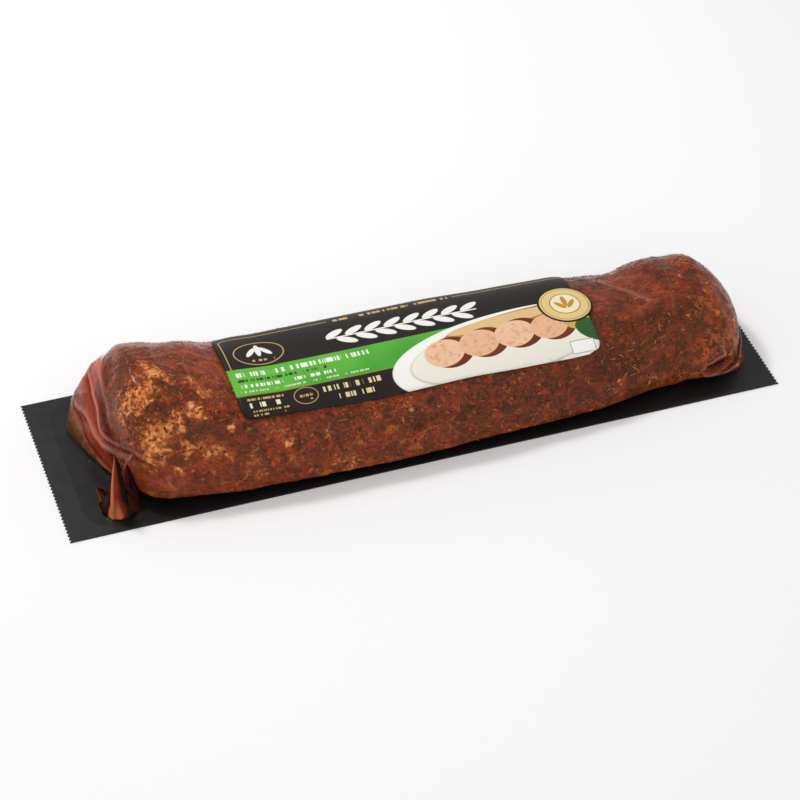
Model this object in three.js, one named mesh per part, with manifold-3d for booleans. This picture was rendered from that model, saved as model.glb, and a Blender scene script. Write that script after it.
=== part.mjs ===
// A raw, seasoned pork tenderloin, sealed under clear film on a flat black web, with a stuck-on label.
// Millimetres, +Z up. X runs along the pack, its front faces -Y, and the web's underside is Z = 0.
import * as THREE from "three";
import { mergeVertices } from "three/addons/utils/BufferGeometryUtils.js";
import Module from "manifold-3d";

const wasm = await Module();
wasm.setup();

// Driving dimensions
const WEB = { length: 300, width: 85, thick: 0.6, teeth: 42, toothDepth: 1.0 };
const GAP = 0.3;
const FLOOR = WEB.thick + GAP;
const BODY = { left: -124, right: 143.8, capLeft: 16, capRight: 24, powerLeft: 2.8, powerRight: 2.5 };
const SECTION = { lowPower: 4.0, widest: 5, around: 56, along: 68 };
const LABEL = { x: 0.9, y: -3.35, length: 151, width: 51, corner: 5, bow: 1.6, thick: 0.35 };
const SEAL = { x: 69.6, y: -2.8, radius: 11.4 };

// Cross-sections of the wrapped meat, from the thick butt end on the left to the tucked tail on the right.
// The power rounds the upper side: 2 is an ellipse, and more is flatter, as under the label.
const STATIONS = [
  { x: -122, half: 34, centre: 3.0, crown: 43.5, foot: 5.0, pole: 24, power: 2.2 },
  { x: -113, half: 35.5, centre: 2.0, crown: 46.0, foot: 3.0, pole: 24, power: 2.2 },
  { x: -104, half: 36.2, centre: 1.2, crown: 44.8, foot: 1.6, pole: 22, power: 2.2 },
  { x: -93, half: 36.8, centre: -0.6, crown: 40.8, foot: FLOOR, pole: 20, power: 2.35 },
  { x: -74, half: 37, centre: -2.4, crown: 35.5, foot: FLOOR, pole: 18, power: 2.7 },
  { x: -55, half: 37.5, centre: -3.0, crown: 33.7, foot: FLOOR, pole: 18, power: 2.75 },
  { x: -20, half: 38, centre: -3.5, crown: 33.4, foot: FLOOR, pole: 18, power: 2.75 },
  { x: 15, half: 37.2, centre: -3.6, crown: 33.4, foot: FLOOR, pole: 18, power: 2.75 },
  { x: 45, half: 35.4, centre: -3.6, crown: 32.7, foot: FLOOR, pole: 18, power: 2.7 },
  { x: 70, half: 35.1, centre: -3.2, crown: 32.4, foot: FLOOR, pole: 18, power: 2.5 },
  { x: 96, half: 32.4, centre: -1.6, crown: 29.4, foot: FLOOR, pole: 17, power: 2.25 },
  { x: 112, half: 32, centre: -0.6, crown: 33.9, foot: FLOOR, pole: 16, power: 2.2 },
  { x: 126, half: 31.8, centre: -1.6, crown: 34.5, foot: 1.6, pole: 15, power: 2.2 },
  { x: 140, half: 31, centre: -3.0, crown: 34.0, foot: 3.0, pole: 14, power: 2.2 },
];

// Lumps of the muscle under the film: place, reach along X and Y, and rise
const LUMPS = [
  { x: -88, y: 16, reachX: 9, reachY: 14, rise: 1.4 },
  { x: -72, y: 24, reachX: 5, reachY: 10, rise: -1.0 },
  { x: -106, y: -20, reachX: 12, reachY: 11, rise: 1.6 },
  { x: -58, y: -36, reachX: 18, reachY: 9, rise: 1.4 },
  { x: -20, y: -30, reachX: 15, reachY: 8, rise: -0.8 },
  { x: 22, y: -36, reachX: 20, reachY: 9, rise: 1.0 },
  { x: 66, y: -34, reachX: 16, reachY: 8, rise: -0.9 },
  { x: 98, y: -20, reachX: 13, reachY: 10, rise: 1.1 },
  { x: 113, y: 14, reachX: 7, reachY: 12, rise: 1.2 },
  { x: 122, y: 10, reachX: 3.5, reachY: 15, rise: -1.0 },
  { x: 130, y: 10, reachX: 6, reachY: 13, rise: 1.4 },
  { x: 118, y: -22, reachX: 8, reachY: 8, rise: 1.3 },
];

// Film pulled taut from each end of the meat down to the web. Each drape wraps the part of the meat
// beyond a place along X, and these points
const DRAPES = [
  {
    beyond: (x) => x < -104,
    points: [
      [-124.2, 19, 35.2], [-131, 22.5, 20], [-129.5, 29, 14.2], [-131, 30, 9.5],
      [-127.8, 41.3, FLOOR], [-129.6, 39.4, FLOOR], [-134.7, 26.8, FLOOR], [-136.7, 22.2, FLOOR],
      [-132.7, 11.3, FLOOR], [-130.4, 4.1, FLOOR], [-128.2, -3.6, FLOOR], [-125.5, -10.7, FLOOR],
      [-121.3, -12.1, FLOOR], [-117.6, -18.3, FLOOR], [-112.9, -23.6, FLOOR],
    ],
  },
  {
    beyond: (x) => x > 118,
    points: [
      [139.2, -15, 20.2], [141.6, -15.5, 14], [140.6, -24.5, 10], [141.6, -25, FLOOR],
      [145.2, -15.5, FLOOR], [145.6, 2, FLOOR], [142, 18, FLOOR], [134, 28, FLOOR],
      [138.3, -29.5, FLOOR], [128.7, -31.2, FLOOR], [122.8, -29.2, FLOOR],
    ],
  },
];

// A low pocket of film at the butt's front corner: centre, reach, height, the squareness of its foot,
// the power of its slope (1 is straight), and how many folds run down it and how deep
const POCKET = {
  x: -126.3, y: -28, reachX: 9.3, reachY: 10.3, height: 12,
  square: 2.2, slope: 1.25, folds: 9, depth: 0.05,
};

// Upright film fins at the butt end: foot, half width, half depth, height and how far the tip leans
const FINS = [
  { x: -127.6, y: -34.0, halfX: 4.2, halfY: 2.4, height: 27, leanX: 0.6, leanY: 4.5 },
  { x: -130.0, y: -25.0, halfX: 3.4, halfY: 1.4, height: 9, leanX: -4.5, leanY: 0.5 },
  { x: -122.0, y: -29.5, halfX: 4.2, halfY: 2.2, height: 17, leanX: 0.5, leanY: 5.0 },
];

const smooth = (t) => t * t * (3 - 2 * t);
const mix = (a, b, t) => a + (b - a) * t;

// The section at x, blended between its two stations
function stationAt(x) {
  const last = STATIONS.length - 1;
  let i = 0;
  while (i < last - 1 && x > STATIONS[i + 1].x) {
    i += 1;
  }
  const [a, b] = [STATIONS[i], STATIONS[i + 1]];
  const t = THREE.MathUtils.clamp((x - a.x) / (b.x - a.x), 0, 1);
  const bend = mix(t, smooth(t), 0.6);
  const at = {};
  for (const key of ["half", "centre", "crown", "foot", "pole", "power"]) {
    at[key] = mix(a[key], b[key], bend);
  }
  return at;
}

// How far the section has closed in towards an end, from 1 in the middle to 0 at the pole
function capScale(x) {
  const { left, right, capLeft, capRight, powerLeft, powerRight } = BODY;
  const nearLeft = x < (left + right) / 2;
  const inFromEnd = nearLeft ? (x - left) / capLeft : (right - x) / capRight;
  const power = nearLeft ? powerLeft : powerRight;
  const short = 1 - THREE.MathUtils.clamp(inFromEnd, 0, 1);
  return (1 - short ** power) ** (1 / power);
}

function lumpRise(x, y) {
  let rise = 0;
  for (const lump of LUMPS) {
    const far = ((x - lump.x) / lump.reachX) ** 2 + ((y - lump.y) / lump.reachY) ** 2;
    rise += lump.rise * Math.exp(-far);
  }
  return rise;
}

// The section at x: its middle, half width, the power of its upper side, and its lowest, widest and
// highest levels
function sectionAt(x) {
  const at = stationAt(x);
  const scale = capScale(x);
  const widest = mix(at.pole, SECTION.widest, scale);
  return {
    centre: at.centre,
    half: at.half * scale,
    power: at.power,
    widest,
    top: widest + (at.crown - widest) * scale,
    bottom: widest - (widest - at.foot) * scale,
  };
}

// Height of the wrapped meat's upper side over (x, y)
function topAt(x, y) {
  const s = sectionAt(x);
  const across = Math.min(1, Math.abs(y - s.centre) / s.half);
  const rise = (1 - across ** s.power) ** (1 / s.power);
  return s.widest + (s.top - s.widest) * rise + lumpRise(x, y) * rise;
}

const signedPower = (v, power) => Math.sign(v) * Math.abs(v) ** power;

function toSolid(geometry) {
  geometry.deleteAttribute("normal");
  geometry.deleteAttribute("uv");
  const merged = mergeVertices(geometry, 1e-4);
  const mesh = new wasm.Mesh({
    numProp: 3,
    vertProperties: new Float32Array(merged.attributes.position.array),
    triVerts: new Uint32Array(merged.index.array),
  });
  return new wasm.Manifold(mesh);
}

function toGeometry(solid) {
  const { vertProperties, triVerts } = solid.getMesh();
  const geometry = new THREE.BufferGeometry();
  geometry.setAttribute("position", new THREE.BufferAttribute(new Float32Array(vertProperties), 3));
  geometry.setIndex(new THREE.BufferAttribute(new Uint32Array(triVerts), 1));
  geometry.computeVertexNormals();
  return geometry;
}

// Moves every vertex of a geometry by a function of its place
function shaped(geometry, place) {
  const position = geometry.attributes.position;
  const v = new THREE.Vector3();
  for (let i = 0; i < position.count; i += 1) {
    v.fromBufferAttribute(position, i);
    place(v);
    position.setXYZ(i, v.x, v.y, v.z);
  }
  return geometry;
}

// The meat in its film: a ball drawn out along X, each of its rings set to its section
function wrappedMeat() {
  const ball = new THREE.SphereGeometry(1, SECTION.around, SECTION.along).rotateZ(Math.PI / 2);
  return shaped(ball, (v) => {
    const theta = Math.acos(THREE.MathUtils.clamp(-v.x, -1, 1));
    const spread = mix(theta / Math.PI, (1 - Math.cos(theta)) / 2, 0.55);
    const x = mix(BODY.left, BODY.right, spread);
    const s = sectionAt(x);
    const ring = Math.hypot(v.y, v.z) || 1;
    const [across, up] = [v.y / ring, v.z / ring];
    const power = up > 0 ? s.power : SECTION.lowPower;
    const y = s.centre + s.half * signedPower(across, 2 / power);
    const rise = Math.abs(up) ** (2 / power);
    const z = up > 0 ? s.widest + (s.top - s.widest) * rise : s.widest - (s.widest - s.bottom) * rise;
    v.set(x, y, up > 0 ? z + lumpRise(x, y) * rise : z);
  });
}

// The film that wraps one end of the meat and reaches its foot on the web
function filmDrape(meat, { beyond, points }) {
  const { vertProperties } = meat.getMesh();
  const wrapped = [...points];
  for (let i = 0; i < vertProperties.length; i += 3) {
    if (beyond(vertProperties[i])) {
      wrapped.push([vertProperties[i], vertProperties[i + 1], vertProperties[i + 2]]);
    }
  }
  return wasm.Manifold.hull(wrapped);
}

// A small tent of stretched film, with a flat foot
function filmPocket({ x, y, reachX, reachY, height, square, slope, folds, depth }) {
  const dome = new THREE.SphereGeometry(1, 44, 12).rotateX(Math.PI / 2);
  return shaped(dome, (v) => {
    const out = Math.min(1, Math.hypot(v.x, v.y));
    const angle = Math.atan2(v.y, v.x);
    const [across, along] = [Math.abs(Math.cos(angle)), Math.abs(Math.sin(angle))];
    const round = (across ** square + along ** square) ** (-1 / square);
    const fold = 1 - depth * out * (1 - Math.cos(folds * angle)) * 0.5;
    const rise = v.z > 1e-6 ? (1 - out ** slope) ** (1 / slope) : 0;
    v.set(x + v.x * round * fold * reachX, y + v.y * round * fold * reachY, FLOOR + rise * height);
  });
}

function filmFin({ x, y, halfX, halfY, height, leanX, leanY }) {
  const blade = new THREE.CylinderGeometry(1, 1, 1, 12, 8).rotateX(Math.PI / 2);
  return shaped(blade, (v) => {
    const up = v.z + 0.5;
    const wide = mix(1, 0.08, up ** 1.7);
    const lean = up ** 1.4;
    v.set(x + v.x * wide * halfX + leanX * lean, y + v.y * wide * halfY + leanY * lean, FLOOR + up * height);
  });
}

function filmPack() {
  const meat = toSolid(wrappedMeat());
  let solid = meat.add(toSolid(filmPocket(POCKET)));
  for (const drape of DRAPES) {
    solid = solid.add(filmDrape(meat, drape));
  }
  for (const fin of FINS) {
    solid = solid.add(toSolid(filmFin(fin)));
  }
  return toGeometry(solid);
}

// The web: a flat sheet with straight long sides and pinked short ends
function backingWeb() {
  const { length, width, thick, teeth, toothDepth } = WEB;
  const pitch = width / teeth;
  const outline = new THREE.Shape();
  outline.moveTo(-length / 2, -width / 2);
  for (const side of [1, -1]) {
    for (let i = 0; i < teeth; i += 1) {
      const root = side * (-width / 2 + i * pitch);
      const tip = side * (-width / 2 + (i + 0.5) * pitch);
      outline.lineTo((side * length) / 2, root);
      outline.lineTo(side * (length / 2 - toothDepth), tip);
    }
    outline.lineTo((side * length) / 2, (side * width) / 2);
  }
  return new THREE.ExtrudeGeometry(outline, { depth: thick, bevelEnabled: false });
}

// The label's outline: a rectangle with round corners, its front edge bowed a little where it is stuck
// over the swell of the meat, and a round seal over its right-hand edge
function labelOutline() {
  const { x, y, length, width, corner, bow } = LABEL;
  const [left, right, low, high] = [x - length / 2, x + length / 2, y - width / 2, y + width / 2];
  const shape = new THREE.Shape();
  shape.moveTo(left + corner, low);
  shape.quadraticCurveTo(x, low - 2 * bow, right - corner, low);
  shape.absarc(right - corner, low + corner, corner, -Math.PI / 2, 0);
  const reach = Math.acos((right - SEAL.x) / SEAL.radius);
  shape.absarc(SEAL.x, SEAL.y, SEAL.radius, -reach, reach);
  shape.absarc(right - corner, high - corner, corner, 0, Math.PI / 2);
  shape.absarc(left + corner, high - corner, corner, Math.PI / 2, Math.PI);
  shape.absarc(left + corner, low + corner, corner, Math.PI, Math.PI * 1.5);
  return shape;
}

// The label: a thin sheet bent over the wrapped meat, then cut to its outline
function label() {
  const [reachX, reachY] = [LABEL.length + 20, LABEL.width + 6];
  const sheet = new THREE.BoxGeometry(reachX, reachY, LABEL.thick, 34, 12, 1);
  shaped(sheet, (v) => {
    const [x, y] = [v.x + LABEL.x, v.y + LABEL.y];
    v.set(x, y, topAt(x, y) + GAP + LABEL.thick / 2 + v.z);
  });
  const throughCut = { depth: 80, bevelEnabled: false, curveSegments: 12 };
  const cutter = new THREE.ExtrudeGeometry(labelOutline(), throughCut);
  return toGeometry(toSolid(sheet).intersect(toSolid(cutter)));
}

const finishes = {
  web: new THREE.MeshStandardMaterial({ color: 0x161618, roughness: 0.35, metalness: 0 }),
  pack: new THREE.MeshStandardMaterial({ color: 0x7a3524, roughness: 0.3, metalness: 0 }),
  label: new THREE.MeshStandardMaterial({ color: 0x2e2b29, roughness: 0.4, metalness: 0 }),
};

function piece(name, geometry, finish) {
  const mesh = new THREE.Mesh(geometry, finish);
  mesh.name = name;
  return mesh;
}

const group = new THREE.Group();
group.add(piece("backing_web", backingWeb(), finishes.web));
group.add(piece("film_pack", filmPack(), finishes.pack));
group.add(piece("label", label(), finishes.label));

export default group;
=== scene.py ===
"""Looks of a raw, seasoned pork tenderloin sealed under clear film on a flat black web.

Blender works in metres with +Z up. Shapes are worked out in millimetres from the same
driving sizes as the model's solids, and become metres when their mesh is made."""

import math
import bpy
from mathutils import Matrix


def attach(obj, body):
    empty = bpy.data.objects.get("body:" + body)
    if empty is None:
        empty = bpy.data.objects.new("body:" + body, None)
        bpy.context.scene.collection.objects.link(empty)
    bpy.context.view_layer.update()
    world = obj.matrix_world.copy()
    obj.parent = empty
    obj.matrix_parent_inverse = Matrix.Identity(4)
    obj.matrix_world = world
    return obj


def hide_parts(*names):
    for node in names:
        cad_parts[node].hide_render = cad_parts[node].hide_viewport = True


bl_info = {
    "name": "Film-packed Tenderloin",
    "version": (1, 0, 0),
    "blender": (4, 5, 0),
    "location": "3D View > Sidebar > Tenderloin",
    "description": "Dresses a seasoned tenderloin in clear film on a black web, with a plain stage",
    "category": "Object",
}

import bmesh
import bpy
import numpy as np
from mathutils import Matrix, Vector, geometry, noise
from mathutils.bvhtree import BVHTree

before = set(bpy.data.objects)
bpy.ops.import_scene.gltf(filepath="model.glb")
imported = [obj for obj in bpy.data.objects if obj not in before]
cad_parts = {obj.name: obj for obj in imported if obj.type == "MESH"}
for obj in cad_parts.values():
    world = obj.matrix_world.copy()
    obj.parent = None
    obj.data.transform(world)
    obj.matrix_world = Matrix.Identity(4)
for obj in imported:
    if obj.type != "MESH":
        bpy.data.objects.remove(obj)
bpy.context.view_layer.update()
BODY_NAME = "root"
MM = 0.001

# Driving sizes in millimetres, as the solids have them
WEB_THICK = 0.6
GAP = 0.3
FLOOR = WEB_THICK + GAP
LEFT, RIGHT = -124.0, 143.8
CAP_LEFT, CAP_RIGHT = 16.0, 24.0
CAP_POWER_LEFT, CAP_POWER_RIGHT = 2.8, 2.5
LOWER_POWER = 4.0
WIDEST = 5.0
LABEL = {"x": 0.9, "y": -3.35, "length": 151.0, "width": 51.0, "corner": 5.0, "bow": 1.6, "thick": 0.35}
PRINT_MIDDLE = -4.6
SEAL = {"x": 69.6, "y": -2.8, "radius": 11.4}
LABEL_STEP = 1.5

# Relief of the skin: size of its features in mm, octaves, seed, and how far it rises or sinks in mm
BROAD_RELIEF = (16.0, 2, 1, 0.5)
LUMPY_RELIEF = (6.0, 2, 2, 0.3)
CRUST_RELIEF = (2.2, 2, 3, 0.1)
RELIEF_LIMITS = (-1.4, 0.2)

# Noise that marks wander by before they are read, so that their edges aren't round, in mm
DRIFT_SIZE, DRIFT_OCTAVES, DRIFT_SEED, DRIFT_REACH = 6.0, 3, 20, 3.0

# Sections of the wrapped meat: x, half width, middle, crown, foot, level of the end's pole, and
# the power of the upper side's curve, flatter under the label
STATIONS = np.array([
    (-122, 34, 3.0, 43.5, 5.0, 24, 2.2),
    (-113, 35.5, 2.0, 46.0, 3.0, 24, 2.2),
    (-104, 36.2, 1.2, 44.8, 1.6, 22, 2.2),
    (-93, 36.8, -0.6, 40.8, FLOOR, 20, 2.35),
    (-74, 37, -2.4, 35.5, FLOOR, 18, 2.7),
    (-55, 37.5, -3.0, 33.7, FLOOR, 18, 2.75),
    (-20, 38, -3.5, 33.4, FLOOR, 18, 2.75),
    (15, 37.2, -3.6, 33.4, FLOOR, 18, 2.75),
    (45, 35.4, -3.6, 32.7, FLOOR, 18, 2.7),
    (70, 35.1, -3.2, 32.4, FLOOR, 18, 2.5),
    (96, 32.4, -1.6, 29.4, FLOOR, 17, 2.25),
    (112, 32, -0.6, 33.9, FLOOR, 16, 2.2),
    (126, 31.8, -1.6, 34.5, 1.6, 15, 2.2),
    (140, 31, -3.0, 34.0, 3.0, 14, 2.2),
])

# Lumps of the muscle: place, reach along X and Y, and rise
LUMPS = (
    (-88, 16, 9, 14, 1.4),
    (-72, 24, 5, 10, -1.0),
    (-106, -20, 12, 11, 1.6),
    (-58, -36, 18, 9, 1.4),
    (-20, -30, 15, 8, -0.8),
    (22, -36, 20, 9, 1.0),
    (66, -34, 16, 8, -0.9),
    (98, -20, 13, 10, 1.1),
    (113, 14, 7, 12, 1.2),
    (122, 10, 3.5, 15, -1.0),
    (130, 10, 6, 13, 1.4),
    (118, -22, 8, 8, 1.3),
)

# Film pulled taut from each end of the meat down to the web: the place along X where it starts, and
# the points it is pulled to
DRAPES = (
    (-104, (
        (-124.2, 19, 35.2), (-131, 22.5, 20), (-129.5, 29, 14.2), (-131, 30, 9.5),
        (-127.8, 41.3, FLOOR), (-129.6, 39.4, FLOOR), (-134.7, 26.8, FLOOR), (-136.7, 22.2, FLOOR),
        (-132.7, 11.3, FLOOR), (-130.4, 4.1, FLOOR), (-128.2, -3.6, FLOOR), (-125.5, -10.7, FLOOR),
        (-121.3, -12.1, FLOOR), (-117.6, -18.3, FLOOR), (-112.9, -23.6, FLOOR),
    )),
    (118, (
        (139.2, -15, 20.2), (141.6, -15.5, 14), (140.6, -24.5, 10), (141.6, -25, FLOOR),
        (145.2, -15.5, FLOOR), (145.6, 2, FLOOR), (142, 18, FLOOR), (134, 28, FLOOR),
        (138.3, -29.5, FLOOR), (128.7, -31.2, FLOOR), (122.8, -29.2, FLOOR),
    )),
)

# Pocket of film at the butt's front corner: centre, reach along X and Y, height, squareness, slope,
# folds and their depth
POCKET = (-126.3, -28, 9.3, 10.3, 12, 2.2, 1.25, 9, 0.05)

# Upright folds at the butt end: foot, half width, half depth, height and lean of the tip
FINS = (
    (-127.6, -34.0, 4.2, 2.4, 27, 0.6, 4.5),
    (-130.0, -25.0, 3.4, 1.4, 9, -4.5, 0.5),
    (-122.0, -29.5, 4.2, 2.2, 17, 0.5, 5.0),
)

# Share of a fold's foot that its tip keeps, how late it narrows and leans, and how brightly light comes
# through each fold's juice
FIN_TIP, FIN_TAPER, FIN_BEND = 0.08, 1.7, 1.4
FIN_GLOW = (1.0, 0.6, 0.22)

# How far the juice lies inside the pocket's film and inside the folds' film, in mm
POCKET_INSET, FIN_INSET = 1.2, 0.35

# The photograph's camera: eye, aim and focal length, the last in pixels of its 800 wide frame
EYE = Vector((-293.35, -872.73, 794.36))
AIM = Vector((-1.374, -2.493, 0.0))
FOCAL = 2957.98
PHOTO_SIDE = 800
SENSOR = 36

# Lights: side, place and aim in mm
KEY_LIGHT = (135, (-310, 440, 815), (-20, 0, 20))
FILL_LIGHT = (900, (200, -800, 600), (0, 0, 20))

# Floor: how far it reaches each way from the middle in mm, and its colour
STAGE_REACH = 1500.0
FLOOR_WHITE = (0.97, 0.97, 0.97)

# How far each seed moves the noise, and how its octaves weaken and shrink
SEED_SHIFT = np.array((17.3, 5.1, 9.7))
OCTAVE_POWER, OCTAVE_STEP = 0.8, 2.1

# Samples along and around the meat from which its even rings are picked
DENSE_ALONG, DENSE_AROUND = 6000, 1441

# Points of a fold round and up, of the label's arcs and front edge, and samples of its bend
FIN_SIDES, FIN_RINGS = 40, 30
ARC_POINTS, FRONT_POINTS, BEND_SAMPLES = 25, 60, 40

# Marks on the meat by pixel of the photograph, each with its reach in millimetres
GOLD_MARKS = (
    (158, 373, 3.2), (151, 379, 3), (167, 381, 2.6), (148, 388, 4.2), (140, 397, 5), (128, 402, 4.5),
    (133, 410, 3.5), (120, 414, 3.5), (164, 431, 5.2), (158, 438, 6), (154, 447, 6), (150, 457, 4.5),
    (178, 424, 4), (195, 412, 4), (147, 365, 3.5), (190, 382, 2.5), (204, 392, 2.5), (186, 446, 2.5),
    (215, 452, 2.5), (232, 428, 2.2), (289, 440, 2.5), (182, 470, 2.2), (172, 488, 2.0), (262, 405, 2.0),
)
DARK_MARKS = (
    (158, 411, 5.5), (148, 413, 4), (172, 404, 4), (195, 433, 5), (218, 425, 5), (222, 436, 4),
    (120, 372, 4), (192, 375, 3), (176, 455, 3.5), (250, 432, 4), (128, 360, 4), (205, 402, 3),
    (161, 386, 2.5), (170, 372, 3), (154, 369, 2.5),
    (300, 447, 4), (335, 421, 4), (415, 417, 3.5), (435, 402, 3), (470, 412, 3.5), (262, 435, 3),
    (455, 422, 3), (505, 405, 3.5), (540, 412, 3), (692, 276, 4), (700, 281, 4), (689, 305, 4),
    (694, 322, 4), (678, 346, 4), (712, 338, 2.5), (655, 318, 5), (640, 340, 5), (622, 352, 5),
    (606, 372, 5), (660, 362, 4), (645, 272, 4), (112, 358, 3.5), (140, 350, 4), (166, 350, 4),
    (182, 360, 3.5), (580, 400, 4), (632, 372, 4), (566, 420, 3.5),
)
# Slick patches where the film lies smooth: less seasoning and lower roughness, and a painted sheen of pale
# streaks in their colour
SLICK_AND_SHEEN_MARKS = (
    (98, 395, 5), (103, 372, 5), (104, 410, 5), (112, 430, 4), (200, 362, 7), (212, 372, 6),
    (206, 384, 4.5), (140, 480, 6), (165, 487, 7), (185, 488, 5), (620, 285, 9), (645, 300, 7),
    (665, 293, 6), (600, 300, 6), (640, 275, 6), (150, 345, 5), (185, 350, 5),
    (126, 466, 5), (136, 474, 6), (148, 482, 5), (134, 462, 4),
)
ORANGE_MARKS = (
    (706, 340, 6), (702, 325, 5), (690, 350, 5), (735, 345, 6), (728, 330, 5), (672, 348, 4),
    (708, 305, 5), (716, 318, 4), (712, 352, 5), (724, 346, 4), (700, 362, 5), (690, 335, 4),
    (300, 455, 4), (355, 465, 3.5), (180, 420, 3), (205, 440, 4), (170, 345, 5), (140, 348, 5),
    (325, 475, 6), (420, 458, 6), (520, 430, 6), (640, 398, 6), (367, 405, 3.5), (373, 418, 4),
    (361, 443, 3.5), (350, 453, 4), (340, 459, 3.5), (390, 428, 3), (265, 430, 4), (257, 470, 4),
    (410, 400, 3), (285, 432, 3), (118, 352, 5), (660, 375, 4), (620, 385, 4), (700, 300, 5),
    (712, 328, 5.5), (704, 314, 5), (722, 330, 5), (696, 345, 5), (712, 292, 4),
)


def mix(a, b, t):
    return a + (b - a) * t


def smooth(t):
    return t * t * (3 - 2 * t)


def signed_power(v, power):
    return np.sign(v) * np.abs(v) ** power


def linear(code):
    """A colour written as six hex digits, as Blender's linear RGBA."""
    parts = [int(code[i:i + 2], 16) / 255 for i in (0, 2, 4)]
    return opaque(c / 12.92 if c <= 0.04045 else ((c + 0.055) / 1.055) ** 2.4 for c in parts)


def opaque(colour):
    return (*colour, 1.0)


def rise_from(values, start, reach):
    """0 up to a start, then up to 1 over a reach."""
    return np.clip((values - start) / reach, 0, 1)


def section_at(x):
    """Middle, half width, widest level, top, bottom and upper power of the wrapped meat at each x."""
    xs = STATIONS[:, 0]
    i = np.clip(np.searchsorted(xs, x, side="left") - 1, 0, len(xs) - 2)
    t = np.clip((x - xs[i]) / (xs[i + 1] - xs[i]), 0, 1)
    bend = mix(t, smooth(t), 0.6)[..., None]
    blended = mix(STATIONS[i, 1:], STATIONS[i + 1, 1:], bend)
    half, middle, crown, foot, pole, upper = np.moveaxis(blended, -1, 0)
    near_left = x < (LEFT + RIGHT) / 2
    inward = np.where(near_left, (x - LEFT) / CAP_LEFT, (RIGHT - x) / CAP_RIGHT)
    power = np.where(near_left, CAP_POWER_LEFT, CAP_POWER_RIGHT)
    scale = (1 - (1 - np.clip(inward, 0, 1)) ** power) ** (1 / power)
    widest = mix(pole, WIDEST, scale)
    top = widest + (crown - widest) * scale
    return middle, half * scale, widest, top, widest - (widest - foot) * scale, upper


def lump_rise(x, y):
    rise = np.zeros(np.broadcast(x, y).shape)
    for at_x, at_y, reach_x, reach_y, height in LUMPS:
        rise += height * np.exp(-((x - at_x) / reach_x) ** 2 - ((y - at_y) / reach_y) ** 2)
    return rise


def top_at(x, y):
    """Height of the wrapped meat's upper side over (x, y), in mm."""
    middle, half, widest, top, _, upper = section_at(x)
    across = np.minimum(1, np.abs(y - middle) / np.maximum(half, 1e-6))
    rise = (1 - across ** upper) ** (1 / upper)
    return widest + (top - widest) * rise + lump_rise(x, y) * rise


def ring_points(x, angle):
    """Points of the wrapped meat at each x and angle round its section, in mm."""
    middle, half, widest, top, bottom, upper = section_at(x)
    across, up = np.cos(angle), np.sin(angle)
    power = np.where(up > 0, upper, LOWER_POWER)
    y = middle + half * signed_power(across, 2 / power)
    rise = np.abs(up) ** (2 / power)
    upper_side = widest + (top - widest) * rise + lump_rise(x, y) * rise
    z = np.where(up > 0, upper_side, widest - (widest - bottom) * rise)
    return np.stack([np.broadcast_to(x, y.shape), y, z], -1)


def evenly(values, lengths, count):
    """Count values taken at even steps of the running length."""
    return np.interp(np.linspace(0, lengths[-1], count), lengths, values)


def wrapped_grid(along, around):
    """The wrapped meat as rings of points, evenly spaced along and around it, in mm."""
    dense = mix(LEFT, RIGHT, (1 - np.cos(np.linspace(0, math.pi, DENSE_ALONG))) / 2)
    _, half, widest, top, *_ = section_at(dense)
    profile = np.stack([dense, half, top - widest], -1)
    run = np.concatenate([[0], np.cumsum(np.linalg.norm(np.diff(profile, axis=0), axis=1))])
    xs = evenly(dense, run, along + 2)[1:-1]
    angles = np.linspace(0, 2 * math.pi, DENSE_AROUND)
    rings = ring_points(xs[:, None], angles[None, :])
    steps = np.linalg.norm(np.diff(rings, axis=1), axis=2)
    grid = np.empty((along, around, 3))
    for i in range(along):
        run = np.concatenate([[0], np.cumsum(steps[i])])
        at = np.interp(np.linspace(0, run[-1], around + 1)[:-1], run, angles)
        grid[i] = ring_points(np.full(around, xs[i]), at)
    return grid


def grid_normals(grid):
    """Outward normals of a closed grid of rings."""
    along = np.gradient(grid, axis=0)
    around = np.roll(grid, -1, axis=1) - np.roll(grid, 1, axis=1)
    normal = np.cross(around, along)
    normal /= np.maximum(np.linalg.norm(normal, axis=2, keepdims=True), 1e-9)
    return normal if normal[len(grid) // 2, grid.shape[1] // 4, 2] > 0 else -normal


def fractal(points, size, octaves, seed):
    """Smooth noise from about -1 to 1 at each point, with features of the given size in mm."""
    flat = points.reshape(-1, 3) / size + seed * SEED_SHIFT
    values = [noise.fractal(Vector(p), OCTAVE_POWER, OCTAVE_STEP, octaves) for p in flat.tolist()]
    return np.array(values).reshape(points.shape[:-1])


def relief(points, size, octaves, seed, reach):
    return fractal(points, size, octaves, seed) * reach


def closed_rings(grid, start, end):
    """Vertices and faces of a skin round rings of points, shut at both ends by a pole."""
    rings, around = grid.shape[:2]
    points = np.concatenate([grid.reshape(-1, 3), [start], [end]])
    index = np.arange(rings * around).reshape(rings, around)
    after = np.roll(index, -1, axis=1)
    quads = np.stack([index[:-1], after[:-1], after[1:], index[1:]], -1).reshape(-1, 4)
    first, last = rings * around, rings * around + 1
    faces = quads.tolist()
    faces += [(first, int(b), int(a)) for a, b in zip(index[0], after[0])]
    faces += [(last, int(a), int(b)) for a, b in zip(index[-1], after[-1])]
    return points, faces


def linked(name, data):
    """An object of a mesh, a light or a camera, in the scene's own collection."""
    made = bpy.data.objects.new(name, data)
    bpy.context.scene.collection.objects.link(made)
    return made


def mesh_object(name, points, faces, material=None):
    """An object with its place in its mesh, from points in mm, its faces pointing out."""
    mesh = bpy.data.meshes.new(name)
    mesh.from_pydata((np.asarray(points) * MM).tolist(), [], faces)
    mesh.validate()
    made = linked(name, mesh)
    face_out(mesh)
    mesh.shade_smooth()
    if material:
        mesh.materials.append(material)
    return made


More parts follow.
